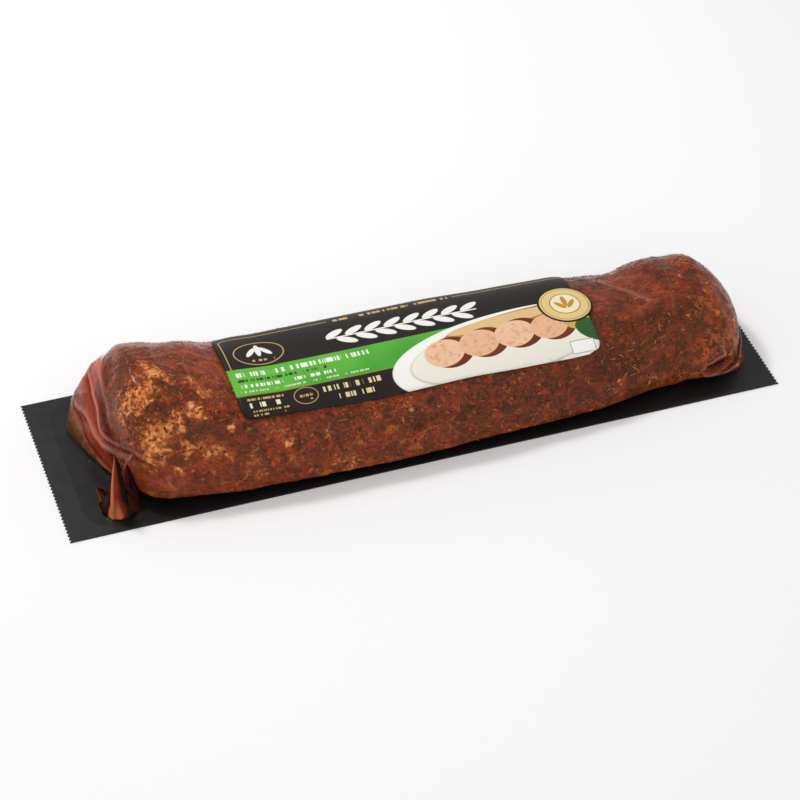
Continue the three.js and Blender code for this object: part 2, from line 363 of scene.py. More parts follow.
def face_out(mesh):
    """Turns a closed mesh's faces round if its volume comes out negative."""
    mesh.calc_loop_triangles()
    corners = np.empty(len(mesh.loop_triangles) * 3, np.int32)
    mesh.loop_triangles.foreach_get("vertices", corners)
    a, b, c = coordinates(mesh)[corners.reshape(-1, 3)].transpose(1, 0, 2)
    if np.einsum("ij,ij->i", a, np.cross(b, c)).sum() < 0:
        mesh.flip_normals()


def coordinates(mesh):
    co = np.empty(len(mesh.vertices) * 3)
    mesh.vertices.foreach_get("co", co)
    return co.reshape(-1, 3)


def normals(mesh):
    vectors = np.empty(len(mesh.vertices) * 3)
    mesh.vertex_normals.foreach_get("vector", vectors)
    return vectors.reshape(-1, 3)


def move_to(mesh, points):
    mesh.vertices.foreach_set("co", points.astype(np.float32).ravel())
    mesh.update()


def store(mesh, name, values):
    layer = mesh.attributes.new(name, "FLOAT", "POINT")
    layer.data.foreach_set("value", np.asarray(values, np.float32))


def read(mesh, name):
    values = np.empty(len(mesh.vertices), np.float32)
    mesh.attributes[name].data.foreach_get("value", values)
    return values


def ray_tree(mesh):
    return BVHTree.FromPolygons(coordinates(mesh).tolist(), [tuple(p.vertices) for p in mesh.polygons])


def dress(made, finish):
    """Gives an object one material in place of those it had."""
    made.data.materials.clear()
    made.data.materials.append(finish)


def remove(*objects):
    for made in objects:
        bpy.data.objects.remove(made)


def finished(piece, slot, *nodes):
    """Joins a piece to the object's body and hides the model's parts it stands for; the slot is not used."""
    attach(piece, BODY_NAME)
    if nodes:
        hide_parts(*nodes)


def applied(made, name):
    """A plain mesh object of what an object's modifiers give. The first object goes."""
    graph = bpy.context.evaluated_depsgraph_get()
    mesh = bpy.data.meshes.new_from_object(made.evaluated_get(graph))
    remove(made)
    return linked(name, mesh)


def view_axes():
    back = (EYE - AIM).normalized()
    right = Vector((0, 0, 1)).cross(back).normalized()
    return right, back.cross(right), back


def seen_point(tree, pixel_x, pixel_y):
    """Where the photograph's line of sight through a pixel meets a surface, in metres, or None."""
    right, up, back = view_axes()
    half = PHOTO_SIDE / 2
    line = right * (pixel_x - half) + up * (half - pixel_y) - back * FOCAL
    return tree.ray_cast(EYE * MM, line.normalized())[0]


def mark_strength(points, tree, marks):
    """How strongly marks placed by pixel reach each point: 1 at a mark and 0 well away."""
    strength = np.zeros(len(points))
    for pixel_x, pixel_y, reach in marks:
        hit = seen_point(tree, pixel_x, pixel_y)
        if hit is not None:
            far = np.linalg.norm(points - np.array(hit), axis=1) / (reach * MM)
            strength = np.maximum(strength, np.exp(-far ** 2))
    return strength


class Wiring:
    """Adds nodes to one tree, each with its settings and what feeds it."""

    def __init__(self, tree):
        self.tree = tree

    def add(self, kind, feeds=None, **settings):
        made = self.tree.nodes.new(kind)
        for name, value in settings.items():
            setattr(made, name, value)
        for socket, value in (feeds or {}).items():
            self.feed(made.inputs[socket], value)
        return made

    def feed(self, socket, value):
        if isinstance(value, bpy.types.NodeSocket):
            self.tree.links.new(value, socket)
        else:
            socket.default_value = value

    def ramp(self, value, stops):
        """A run of colours, from pairs of a place and a code."""
        made = self.add("ShaderNodeValToRGB", {"Fac": value})
        row = made.color_ramp.elements
        while len(row) < len(stops):
            row.new(0.5)
        for element, (at, code) in zip(row, stops):
            element.position, element.color = at, linear(code)
        return made.outputs[0]

    def total(self, *parts):
        """The sum of values, each either alone or with a factor."""
        sum_so_far = 0.0
        for part in parts:
            value, factor = part if isinstance(part, tuple) else (part, 1.0)
            sum_so_far = self.math("MULTIPLY_ADD", value, factor, sum_so_far)
        return sum_so_far

    def math(self, operation, *values, clamp=False):
        feeds = dict(enumerate(values))
        return self.add("ShaderNodeMath", feeds, operation=operation, use_clamp=clamp).outputs[0]

    def plus(self, a, b, clamp=False):
        return self.math("ADD", a, b, clamp=clamp)

    def less(self, a, b, clamp=False):
        return self.math("SUBTRACT", a, b, clamp=clamp)

    def over(self, a, b):
        return self.math("DIVIDE", a, b)

    def square(self, value):
        return self.math("POWER", value, 2.0)

    def times(self, *values):
        """The product of values."""
        product = values[0]
        for value in values[1:]:
            product = self.math("MULTIPLY", product, value)
        return product

    def without(self, value, share):
        """What is left of 1 after a share of a value."""
        return self.less(1.0, self.times(value, share))

    def mix(self, factor, a, b):
        return self.add("ShaderNodeMix", {0: factor, 6: a, 7: b}, data_type="RGBA").outputs[2]

    def span(self, value, low, high, to_low=0.0, to_high=1.0):
        feeds = {0: value, 1: low, 2: high, 3: to_low, 4: to_high}
        return self.add("ShaderNodeMapRange", feeds, interpolation_type="SMOOTHSTEP").outputs[0]

    def noise(self, place, size, detail=2.0, distortion=0.0):
        feeds = {"Vector": place, "Scale": size, "Detail": detail, "Distortion": distortion}
        return self.add("ShaderNodeTexNoise", feeds).outputs[0]

    def cells(self, place, scale):
        return self.add("ShaderNodeTexVoronoi", {"Vector": place, "Scale": scale}).outputs[0]

    def value(self, name):
        return self.add("ShaderNodeAttribute", attribute_name=name).outputs["Fac"]

    def place(self):
        """The piece's own coordinates, in mm."""
        here = self.add("ShaderNodeTexCoord").outputs["Object"]
        return self.add("ShaderNodeVectorMath", {0: here, "Scale": 1 / MM}, operation="SCALE").outputs[0]

    def shifted(self, place, offset):
        return self.add("ShaderNodeVectorMath", {0: place, 1: offset}, operation="ADD").outputs[0]

    def stretched(self, place, factors):
        return self.add("ShaderNodeVectorMath", {0: place, 1: factors}, operation="MULTIPLY").outputs[0]

    def axes(self, place):
        return self.add("ShaderNodeSeparateXYZ", {0: place}).outputs

    def use(self, group, **feeds):
        made = self.add("ShaderNodeGroup", node_tree=group)
        for name, value in feeds.items():
            self.feed(made.inputs[name.replace("_", " ")], value)
        return made.outputs[0]

    def bump(self, height, distance, strength=1.0):
        feeds = {"Height": height, "Distance": distance * MM, "Strength": strength}
        return self.add("ShaderNodeBump", feeds).outputs[0]


def mask_group(name, defaults):
    """A shader node group that puts out a mask from a place and numbers, and the wiring to fill it."""
    tree = bpy.data.node_groups.new(name, "ShaderNodeTree")
    tree.interface.new_socket("Place", in_out="INPUT", socket_type="NodeSocketVector")
    for label, default in defaults.items():
        socket = tree.interface.new_socket(label, in_out="INPUT", socket_type="NodeSocketFloat")
        socket.default_value = default
    tree.interface.new_socket("Mask", in_out="OUTPUT", socket_type="NodeSocketFloat")
    wiring = Wiring(tree)
    entry = wiring.add("NodeGroupInput").outputs
    leave = wiring.add("NodeGroupOutput").inputs[0]
    return tree, wiring, entry, leave


def once(build):
    """Makes a node group the first time it is asked for and hands the same one out after that."""
    kept = {}

    def made():
        if "tree" not in kept:
            kept["tree"] = build()
        return kept["tree"]

    return made


@once
def patches_group():
    """Irregular patches: where noise of a given size passes a level."""
    defaults = {"Size": 5.0, "Level": 0.5, "Softness": 0.05, "Detail": 4.0, "Warp": 0.6}
    tree, w, entry, leave = mask_group("patches", defaults)
    scale = w.over(1.0, entry["Size"])
    grain = w.noise(entry["Place"], scale, entry["Detail"], entry["Warp"])
    low = w.less(entry["Level"], entry["Softness"])
    high = w.plus(entry["Level"], entry["Softness"])
    w.feed(leave, w.span(grain, low, high))
    return tree


@once
def oval_group():
    """An oval field of print: 1 inside, 0 outside, with turned axes."""
    defaults = {"Across": 0.0, "Up": 0.0, "Half Length": 5.0, "Half Width": 5.0, "Turn": 0.0, "Edge": 0.15}
    tree, w, entry, leave = mask_group("oval", defaults)
    parts = w.axes(entry["Place"])
    across = w.less(parts[0], entry["Across"])
    up = w.less(parts[1], entry["Up"])
    cos, sin = w.math("COSINE", entry["Turn"]), w.math("SINE", entry["Turn"])
    along = w.plus(w.times(across, cos), w.times(up, sin))
    aside = w.less(w.times(up, cos), w.times(across, sin))
    far_along = w.square(w.over(along, entry["Half Length"]))
    far_aside = w.square(w.over(aside, entry["Half Width"]))
    far = w.math("SQRT", w.plus(far_along, far_aside))
    edge = w.over(entry["Edge"], entry["Half Width"])
    w.feed(leave, w.span(far, w.plus(1.0, edge), w.less(1.0, edge)))
    return tree


@once
def panel_group():
    """A rectangular field of print with rounded corners."""
    defaults = {"Left": -5.0, "Right": 5.0, "Low": -2.0, "High": 2.0, "Corner": 0.3, "Edge": 0.12}
    tree, w, entry, leave = mask_group("panel", defaults)
    parts = w.axes(entry["Place"])

    def outside(value, low, high):
        middle = w.times(w.plus(low, high), 0.5)
        half = w.less(w.times(w.less(high, low), 0.5), entry["Corner"])
        far = w.math("ABSOLUTE", w.less(value, middle))
        return w.math("MAXIMUM", w.less(far, half), 0.0)

    past_x = w.square(outside(parts[0], entry["Left"], entry["Right"]))
    past_y = w.square(outside(parts[1], entry["Low"], entry["High"]))
    far = w.less(w.math("SQRT", w.plus(past_x, past_y)), entry["Corner"])
    w.feed(leave, w.span(far, entry["Edge"], w.times(entry["Edge"], -1.0)))
    return tree


@once
def small_print_group():
    """A row of small print as plain marks: uneven bars with gaps, inside a panel."""
    tree, w, entry, leave = mask_group("small print", {"Panel": 1.0, "Pitch": 1.0, "Shift": 0.0})
    parts = w.axes(entry["Place"])
    step = w.plus(w.over(parts[0], entry["Pitch"]), entry["Shift"])
    spot = w.add("ShaderNodeCombineXYZ", {0: step, 1: w.times(entry["Shift"], 9.0)}).outputs[0]
    bar = w.span(w.noise(spot, 1.7, 0.0), 0.43, 0.5)
    word = w.span(w.noise(spot, 0.3, 0.0), 0.38, 0.42)
    w.feed(leave, w.times(entry["Panel"], w.times(bar, word)))
    return tree


# Wet gloss over the rubbed meat
COAT_ROUGHNESS, COAT_IOR = 0.2, 1.26


def material(name, base, roughness, ior=1.45, coat=0.0):
    """A material with one Principled shader, its constants set on the shader's own sockets."""
    made = bpy.data.materials.new(name)
    made.use_nodes = True
    sockets = made.node_tree.nodes["Principled BSDF"].inputs
    values = {
        "Base Color": base,
        "Roughness": roughness,
        "IOR": ior,
        "Coat Weight": coat,
        "Coat Roughness": COAT_ROUGHNESS,
        "Coat IOR": COAT_IOR,
    }
    for socket, value in values.items():
        sockets[socket].default_value = value
    return made, Wiring(made.node_tree), sockets


# The plain part of the web inside its heat seals, in mm
PLAIN_WEB = {"Left": -141.0, "Right": 141.0, "Low": -40.5, "High": 41.0, "Corner": 14.0, "Edge": 1.2}
KNURL_PALE = "222222"


def black_web_finish(settings):
    """Black plastic sheet with a knurled seal round a plain rounded pocket."""
    black = opaque(settings.colour)
    made, w, sockets = material("black_web", black, settings.roughness, ior=1.34)
    place = w.place()
    pocket = w.use(panel_group(), Place=place, **PLAIN_WEB)
    seal = w.less(1.0, pocket)
    turn = {"Vector": place, "Angle": math.radians(45)}
    turned = w.add("ShaderNodeVectorRotate", turn, rotation_type="Z_AXIS").outputs[0]
    pitch = settings.knurl_pitch / MM
    rows = [w.math("PINGPONG", w.over(part, pitch), 0.5) for part in w.axes(turned)[:2]]
    ridge = w.math("MINIMUM", *rows)
    waves = w.noise(place, 0.03, 1.0)
    lift = w.total((w.times(ridge, seal), 0.3), (waves, 0.6), (w.times(pocket, seal), 0.25))
    w.feed(sockets["Normal"], w.bump(lift, 0.35))
    scuffs = w.noise(place, 0.15, 5.0)
    shiniest, dullest = settings.roughness - 0.05, settings.roughness + 0.09
    w.feed(sockets["Roughness"], w.span(scuffs, 0.3, 0.7, shiniest, dullest))
    hatch = w.times(w.span(ridge, 0.12, 0.3), seal)
    w.feed(sockets["Base Color"], w.mix(hatch, black, linear(KNURL_PALE)))
    return made


# Colours of the rubbed meat, from charred herbs through raw red to toasted garlic
HEAT = (
    (0.0, "140a04"), (0.2, "38190b"), (0.36, "652a11"), (0.5, "883a19"),
    (0.64, "ac501f"), (0.78, "d07c34"), (1.0, "f0b46c"),
)

# The heat without any mark, and how much each field adds to it or takes off
HEAT_LEVEL = 0.485
# rim lightens the lower edge toward orange: a painted glow of light through the film and juice there
HEAT_SHARES = {"gold": 0.27, "orange": 0.195, "dark": -0.16, "calm": -0.105, "rim": 0.1}

# Tints of toasted garlic, of the patches over the heat, and of the painted sheen streaks on slick patches
TOASTED = ((0.34, "5c2410"), (0.43, "b05424"), (0.53, "e68c48"), (0.68, "fcc080"))
ROSY, OLIVE, ASH, FIBRE, HERBS, FLECK = "a43e24", "4e3a1c", "40290f", "b4571f", "3c2a14", "160b05"
SHEEN_DARK, SHEEN_PALE = "642812", "ae502e"


def meat_finish(settings):
    """Raw meat under a wet rub: red-brown, with rust, ash, gold and slick patches, a painted sheen on the
    slick ones, and wet all over.
    """
    bare = opaque(settings.colour)
    made, w, sockets = material("seasoned_meat", bare, 0.5, ior=1.1, coat=0.75)
    place = w.place()

    def patch(offset, size, level, softness, detail=4.0, warp=0.8):
        """A mask of patches, moved by an offset so that no two kinds fall together."""
        moved = w.shifted(place, (offset, offset * 0.7, -offset))
        values = {"Size": size, "Level": level, "Softness": softness, "Detail": detail, "Warp": warp}
        return w.use(patches_group(), Place=moved, **values)

    def swing(scale, detail, distortion, reach):
        """Noise about zero, with the given reach."""
        return w.times(w.less(w.noise(place, scale, detail, distortion), 0.5), reach)

    fields = {name: w.value(name) for name in ("gold", "dark", "slick_and_sheen", "orange", "calm", "rim")}
    gold, dark, slick_and_sheen, orange, calm, _ = fields.values()
    dry = w.without(slick_and_sheen, 0.8)
    busy = w.span(w.noise(place, 0.11, 3.0, 0.8), 0.35, 0.65, 0.5, 1.3)
    lively = w.times(busy, w.without(calm, 0.3))
    blotches = w.times(w.total(swing(0.2, 5.0, 0.7, 1.1), swing(0.5, 3.0, 0.8, 0.9)), lively)
    grains = w.times(w.total(swing(1.0, 4.0, 0.4, 0.9), swing(2.6, 2.0, 0.0, 0.55)), lively)
    # The rim's share is a painted glow along the meat's lower edge
    shares = [(fields[name], share) for name, share in HEAT_SHARES.items()]
    heat = w.total(HEAT_LEVEL, blotches, swing(0.07, 2.0, 0.4, 0.4), grains, *shares)
    colour = w.ramp(heat, HEAT)

    plain = w.less(1.0, w.math("MAXIMUM", gold, w.times(orange, 0.5)))
    strands = w.stretched(place, (0.5, 1.0, 1.0))
    raw = w.times(patch(31, 6, 0.52, 0.1), plain, w.span(calm, 0.0, 1.0, 1.0, 0.35))
    rosy = w.times(patch(57, 3.4, 0.54, 0.06), w.without(gold, 0.6))
    olive = w.times(patch(73, 3.2, 0.55, 0.05), patch(29, 1.6, 0.46, 0.1), dry)
    ash = w.times(patch(91, 7.0, 0.51, 0.08), patch(13, 2.0, 0.46, 0.12), dry)
    fibre = w.times(w.span(w.noise(strands, 0.9, 3.0, 1.2), 0.56, 0.68), dry)
    clump = w.times(dark, patch(5, 2.6, 0.42, 0.14))
    crumbly = w.span(w.total(gold, swing(0.3, 5.0, 0.8, 2.5)), 0.3, 0.85)
    golden = w.ramp(w.noise(place, 0.6, 6.0, 0.6), TOASTED)
    streaks = w.span(w.noise(strands, 0.5, 5.0, 0.8), 0.36, 0.64)
    painted_sheen = w.mix(streaks, linear(SHEEN_DARK), linear(SHEEN_PALE))
    fleck = w.times(w.span(w.cells(place, 0.62), 0.28, 0.18), patch(41, 1.3, 0.5, 0.03, 1.0, 0.0), dry)
    # From the bottom up: where a layer lies, how strongly, and its colour
    layers = (
        (raw, 0.7, bare),
        (rosy, w.span(calm, 0.0, 1.0, 0.72, 0.4), linear(ROSY)),
        (olive, 0.6, linear(OLIVE)),
        (ash, w.span(calm, 0.0, 1.0, 0.64, 0.8), linear(ASH)),
        (fibre, 0.35, linear(FIBRE)),
        (clump, 0.55, linear(HERBS)),
        (crumbly, 0.9, golden),
        # Painted sheen: pale and dark streaks laid over the slick patches
        (slick_and_sheen, 0.72, painted_sheen),
        (fleck, 0.9, linear(FLECK)),
    )
    for mask, strength, tint in layers:
        colour = w.mix(w.times(mask, strength), colour, tint)
    w.feed(sockets["Base Color"], colour)
    crumbs = w.total(w.noise(place, 0.9, 4.0), (w.noise(place, 0.25, 2.0), 1.5))
    w.feed(sockets["Normal"], w.bump(w.times(crumbs, dry), 0.6, 0.8))
    w.feed(sockets["Roughness"], w.span(slick_and_sheen, 0.0, 1.0, 0.46, 0.3))
    return made


def spice_finish(name, dark_code, light_code, roughness):
    """One kind of dry seasoning, its grains uneven in tint."""
    made, w, sockets = material(name, linear(dark_code), roughness)
    w.feed(sockets["Base Color"], w.mix(w.value("tint"), linear(dark_code), linear(light_code)))
    w.feed(sockets["Normal"], w.bump(w.noise(w.place(), 3.0, 2.0), 0.08, 0.6))
    return made


JUICE_RED = "7a240f"


def juice_finish(settings):
    """Meat juice held in the folds of the film: black in the depth, partly as painted shade, red, and bright
    at the folds' left edges and feet with a painted glow of light through it.
    """
    deep = opaque(settings.colour)
    made, w, sockets = material("meat_juice", deep, 0.25, ior=1.15)
    streaks = w.noise(w.place(), 0.2, 3.0, 0.6)
    # The folds' painted glow, with streaks, lifts the colour from the near-black deep colour through red to
    # the bright edge colour
    depth = w.plus(w.value("glow_edge"), w.times(w.less(streaks, 0.5), 0.25), clamp=True)
    red = w.mix(w.span(depth, 0.0, 0.4), deep, linear(JUICE_RED))
    w.feed(sockets["Base Color"], w.mix(w.span(depth, 0.35, 0.95), red, opaque(settings.edge_colour)))
    w.feed(sockets["Normal"], w.bump(streaks, 0.5, 0.4))
    return made


# Tints of the film: clinging, standing off, the two of its smoky tents, the painted shade in a shallow and
# a deep hollow, and the painted highlight along a bright crease
CLINGING, LOOSE, SMOKY_DARK, SMOKY_PALE = "843f2a", "ac3c20", "74401f", "a06040"
SHALLOW_SHADE, DEEP_SHADE, CREASE_HIGHLIGHT = "7a2008", "1e0502", "dca088"
FILM_BASE = (0.3, 0.12, 0.09)


def film_finish(settings):
    """Clear film: nearly unseen where it clings, veiled and tinted where it stands off the meat."""
    made, w, sockets = material("clear_film", opaque(FILM_BASE), settings.roughness, settings.gloss_ior)
    gap, crease_highlight, fold, clear, low = (w.value(name) for name in ("gap", "crease_highlight", "fold", "clear", "low"))
    place = w.place()
    cloud = w.noise(place, 0.12, 3.0, 0.5)
    veil = w.mix(w.span(gap, 0.4, 3.0), linear(CLINGING), linear(LOOSE))
    smoky = w.mix(w.span(cloud, 0.35, 0.65), linear(SMOKY_DARK), linear(SMOKY_PALE))
    veil = w.mix(w.span(gap, 4.0, 10.0), veil, smoky)
    # Painted shade: creases that sink are tinted red-black, darkest in the middle of the hollow
    hollow_shade = w.mix(w.span(fold, 0.5, 1.0), linear(SHALLOW_SHADE), linear(DEEP_SHADE))
    veil = w.mix(w.span(fold, 0.0, 0.6), veil, hollow_shade)
    # Painted highlight: a pale pink tint along the bright creases
    w.feed(sockets["Base Color"], w.mix(crease_highlight, veil, linear(CREASE_HIGHLIGHT)))
    near = w.span(gap, 0.7, 3.4, settings.contact_veil, settings.loose_veil)
    far = w.span(gap, 8.0, 16.0, 0.0, settings.loose_veil - settings.tent_veil)
    blur = w.times(w.less(cloud, 0.5), 0.4, w.span(gap, 0.8, 3.0))
    # Bright creases and dark hollows also make the film less clear, so that their painted highlight and
    # shade show
    alpha = w.total(w.less(near, far), blur, (crease_highlight, 0.6), (fold, 0.75))
    shown = w.times(alpha, w.without(low, 0.6), w.without(clear, 0.88))
    # Painted highlight arcs where the film's creases run round the pocket
    rim_highlights = w.times(crease_highlight, clear, 0.35)
    w.feed(sockets["Alpha"], w.plus(rim_highlights, shown, clamp=True))
    ripples = w.noise(place, 0.16, 3.0, 0.4)
    wrinkles = w.noise(w.stretched(place, (0.35, 1.0, 0.6)), 0.5, 3.0, 0.6)
    cling = w.times(w.noise(place, 0.7, 2.0), w.span(gap, 2.0, 0.6, 0.0, 0.5))
    w.feed(sockets["Normal"], w.bump(w.total(ripples, (wrinkles, 0.5), cling), 0.9, 0.7))
    return made


PRINT_GOLD, BAND_PALE = "cda76a", "63b53c"


def label_finish(settings):
    """Generic print in plain fields and simple shapes on a near-black label."""
    field = opaque(settings.field_colour)
    made, w, sockets = material("label_print", field, 0.45, ior=1.27)
    place = w.add("ShaderNodeAttribute", attribute_name="print_place").outputs["Vector"]
    shine = w.span(w.noise(w.place(), 0.03, 2.0), 0.35, 0.65)
    band = w.mix(shine, opaque(settings.band_colour), linear(BAND_PALE))
    named = {"field": field, "gold": linear(PRINT_GOLD), "band": band}
    colour = field
    for layer in LABEL_PRINT:
        colour = print_layer(w, place, colour, layer, named)
    w.feed(sockets["Base Color"], colour)
    return made


# The label's print from the bottom up, in mm from the label's middle: kind, colour and sizes.
# panel: left, right, low, high, corner. frame: the same, and its line's thickness.
# oval: across, up, half length, half width, turn. grain: the same, for an oval of mottling.
# ring: the same, and its line's thickness. row of marks: left, right, low, high, pitch, shift.
LABEL_PRINT = (
    ("frame", "gold", (-73.4, 120, -60, 23.4, 3.0, 0.4)),
    ("panel", "field", (-76, -70, -27, 0.6, 0.2)),
    ("panel", "field", (-27, 27, 21, 25.5, 0.2)),
    ("row", "gold", (-25, 25, 22.0, 24.0, 1.7, 0.3)),
    ("ring", "gold", (-59.5, 9.6, 10.4, 7.6, 0.0, 0.45)),
    ("oval", "f2efe9", (-62.5, 10.6, 3.4, 1.1, 0.9)),
    ("oval", "f2efe9", (-59.5, 11.4, 3.8, 1.2, 1.57)),
    ("oval", "f2efe9", (-56.5, 10.6, 3.4, 1.1, -0.9)),
    ("row", "gold", (-65, -54, 4.4, 5.6, 1.6, 0.1)),
    ("panel", "f2efe9", (-31, 33, 9.3, 10.0, 0.3)),
    *(("oval", "f2efe9", (-27 + 8.2 * i, 12.4, 4.4, 1.7, 0.5)) for i in range(8)),
    *(("oval", "f2efe9", (-23 + 8.2 * i, 6.9, 4.4, 1.7, -0.5)) for i in range(7)),
    ("panel", "band", (-76, 44, -14.3, 0.8, 0.2)),
    ("panel", "7d8a2e", (-76, 44, -14.7, -14.1, 0.2)),
    ("row", "f2f4ea", (-73, -17, -4.2, -1.6, 1.5, 0.4)),
    ("row", "1d4a1a", (-73, -36, -7.2, -5.7, 1.2, 0.7)),
    ("row", "f2f4ea", (-73, -32, -10.4, -8.7, 1.3, 0.15)),
    ("row", "d5e8c8", (-73, -20, -12.9, -12.1, 1.0, 0.6)),
    ("row", "gold", (-72.5, -57, -17.2, -16.1, 1.3, 0.2)),
    ("row", "efe3c8", (-72.5, -59, -20.6, -18.3, 1.6, 0.75)),
    ("row", "gold", (-71.5, -56, -22.7, -21.9, 0.9, 0.4)),
    ("row", "gold", (-71.5, -58, -24.4, -23.6, 0.9, 0.9)),
    ("ring", "gold", (-48.3, -19.0, 5.0, 4.0, 0.0, 0.3)),
    ("row", "gold", (-52, -44.6, -19.6, -18.4, 0.8, 0.3)),
    ("row", "gold", (-50.6, -46, -21.2, -20.6, 0.8, 0.5)),
    ("row", "e6cf9c", (-41, -17, -19.2, -16.7, 1.3, 0.35)),
    ("row", "e6cf9c", (-35.5, -20.5, -23.4, -21.2, 1.2, 0.8)),
    ("oval", "f4f2ec", (38, -14.5, 50.5, 18.6, 0.12)),
    ("oval", "d8cdb6", (39, -14.3, 44, 14.8, 0.12)),
    ("oval", "efe9dc", (39, -13.9, 43.2, 14.2, 0.12)),
    ("oval", "b9772f", (46, -3.0, 33, 6.4, 0.1)),
    ("oval", "e2bd84", (40, -1.0, 24, 3.4, 0.1)),
    ("oval", "6b3019", (14.5, -12.8, 9.6, 8.0, 0.3)),
    ("oval", "eec09c", (11.6, -12.6, 8.6, 7.0, 0.3)),
    ("oval", "74351b", (30, -11.0, 9.6, 8.0, 0.3)),
    ("oval", "eab690", (27, -10.8, 8.6, 7.0, 0.3)),
    ("oval", "6b3019", (45.5, -9.6, 9.6, 8.0, 0.3)),
    ("oval", "eec09c", (42.6, -9.4, 8.6, 7.0, 0.3)),
    ("oval", "74351b", (60.5, -9.2, 9.2, 7.6, 0.3)),
    ("oval", "eab690", (57.8, -9.0, 8.2, 6.6, 0.3)),
    *(("grain", "c07850", (11.6 + 15.4 * i, -12.4 + 1.2 * i, 7.6, 6.2, 0.3)) for i in range(4)),
    ("oval", "c7b04c", (71, -9.0, 6.5, 4.2, 0.3)),
    ("oval", "2f5c2c", (75.5, -14.5, 8.0, 5.5, -0.4)),
    ("panel", "9a8f7c", (62.9, 73.3, -24.7, -18.9, 0.4)),
    ("panel", "f6f5f1", (63.2, 73.0, -24.4, -19.2, 0.3)),
    ("oval", "1d1916", (68.7, 1.8, 11.6, 11.6, 0.0)),
    ("oval", "e2c684", (68.7, 1.8, 10.6, 10.6, 0.0)),
    ("ring", "8c6a2c", (68.7, 1.8, 9.9, 9.9, 0.0, 0.25)),
    ("ring", "3a2c18", (68.7, 1.8, 6.4, 6.4, 0.0, 0.3)),
    ("oval", "f2e4bc", (68.7, 1.8, 6.0, 6.0, 0.0)),
    ("oval", "c08a34", (68.7, 3.2, 3.4, 1.1, 1.57)),
    ("oval", "c08a34", (66.4, 1.2, 3.0, 1.0, 2.2)),
    ("oval", "c08a34", (71.0, 1.2, 3.0, 1.0, 0.9)),
)

# What the sizes of a panel and of an oval are called, and the corners of a row's panel
PANEL_SIZES = ("Left", "Right", "Low", "High", "Corner")
OVAL_SIZES = ("Across", "Up", "Half_Length", "Half_Width", "Turn")
ROW_CORNER = 0.3


def print_layer(w, place, under, layer, named):
    """Lays one field of print over the colours under it."""
    kind, code, sizes = layer
    sizes = [float(size) for size in sizes]

    def panel(*values):
        return w.use(panel_group(), Place=place, **dict(zip(PANEL_SIZES, values)))

    def oval(*values):
        return w.use(oval_group(), Place=place, **dict(zip(OVAL_SIZES, values)))

    if kind in ("panel", "frame"):
        mask = panel(*sizes)
    elif kind == "row":
        inside = panel(*sizes[:4], ROW_CORNER)
        mask = w.use(small_print_group(), Place=place, Panel=inside, Pitch=sizes[4], Shift=sizes[5])
    else:
        mask = oval(*sizes)
    if kind == "grain":
        mottle = w.span(w.noise(place, 0.45, 4.0, 0.5), 0.45, 0.75)
        mask = w.times(mask, mottle, 0.6)
    if kind == "frame":
        left, right, low, high, corner, line = sizes
        hole = panel(left + line, right - line, low + line, high - line, corner - line)
        mask = w.less(mask, hole, clamp=True)
    if kind == "ring":
        across, up, half_length, half_width, turn, line = sizes
        mask = w.less(mask, oval(across, up, half_length - line, half_width - line, turn), clamp=True)
    return w.mix(mask, under, named.get(code) or linear(code))


def skin_relief(points):
    """How far the film and the meat under it rise or sink together at each point, in mm."""
    return np.clip(relief(points, *BROAD_RELIEF) + relief(points, *LUMPY_RELIEF), *RELIEF_LIMITS)


def union(name, objects):
    """One skin round several closed objects."""
    first = objects[0]
    others = bpy.data.collections.new(name + "_parts")
    for made in objects[1:]:
        others.objects.link(made)
    cut = first.modifiers.new("join", "BOOLEAN")
    cut.operation = "UNION"
    cut.operand_type = "COLLECTION"
    cut.collection = others
    cut.solver = "MANIFOLD"
    result = applied(first, name)
    remove(*objects[1:])
    bpy.data.collections.remove(others)
    return result


def pocket_object(shrink=0.0, rings=44, around=200):
    """The pocket of film with its flat foot, from its foot's middle to its top."""
    x, y, reach_x, reach_y, height, square, slope, folds, depth = POCKET
    reach_x, reach_y, height = reach_x - shrink, reach_y - shrink, height - shrink
    angle = np.linspace(0, 2 * math.pi, around + 1)[:-1]
    cos, sin = np.cos(angle), np.sin(angle)
    outline = (np.abs(cos) ** square + np.abs(sin) ** square) ** (-1 / square)
    turn = np.linspace(0, math.pi, 2 * rings + 1)[1:-1, None]
    out = np.sin(turn)
    fold = 1 - depth * out * (1 - np.cos(folds * angle)) * 0.5
    rise = np.where(turn > math.pi / 2, (1 - np.minimum(out, 1) ** slope) ** (1 / slope), 0)
    rise[rings - 1] = 0
    points = [x + out * cos * outline * fold * reach_x, y + out * sin * outline * fold * reach_y]
    grid = np.stack([*points, FLOOR + rise * height * np.ones_like(angle)], -1)
    return mesh_object("pocket", *closed_rings(grid, (x, y, FLOOR), (x, y, FLOOR + height)))


def drape_object(body, start, pulled_to):
    """The film that wraps one end of the body and reaches its foot on the web."""
    points = coordinates(body.data)
    wrapped = points[points[:, 0] < start * MM] if start < 0 else points[points[:, 0] > start * MM]
    shape = bmesh.new()
    for point in np.concatenate([wrapped, np.array(pulled_to) * MM]):
        shape.verts.new(point)
    found = bmesh.ops.convex_hull(shape, input=shape.verts, use_existing_faces=False)
    left_over = found["geom_interior"] + found["geom_unused"]
    spare = {v for v in left_over if isinstance(v, bmesh.types.BMVert)}
    bmesh.ops.delete(shape, geom=list(spare), context="VERTS")
    mesh = bpy.data.meshes.new("drape")
    shape.to_mesh(mesh)
    shape.free()
    face_out(mesh)
    return linked("drape", mesh)


def fin_run(up):
    """Share of a fold's foot, and of its lean, at each share of its height."""
    return mix(1.0, FIN_TIP, up ** FIN_TAPER), up ** FIN_BEND


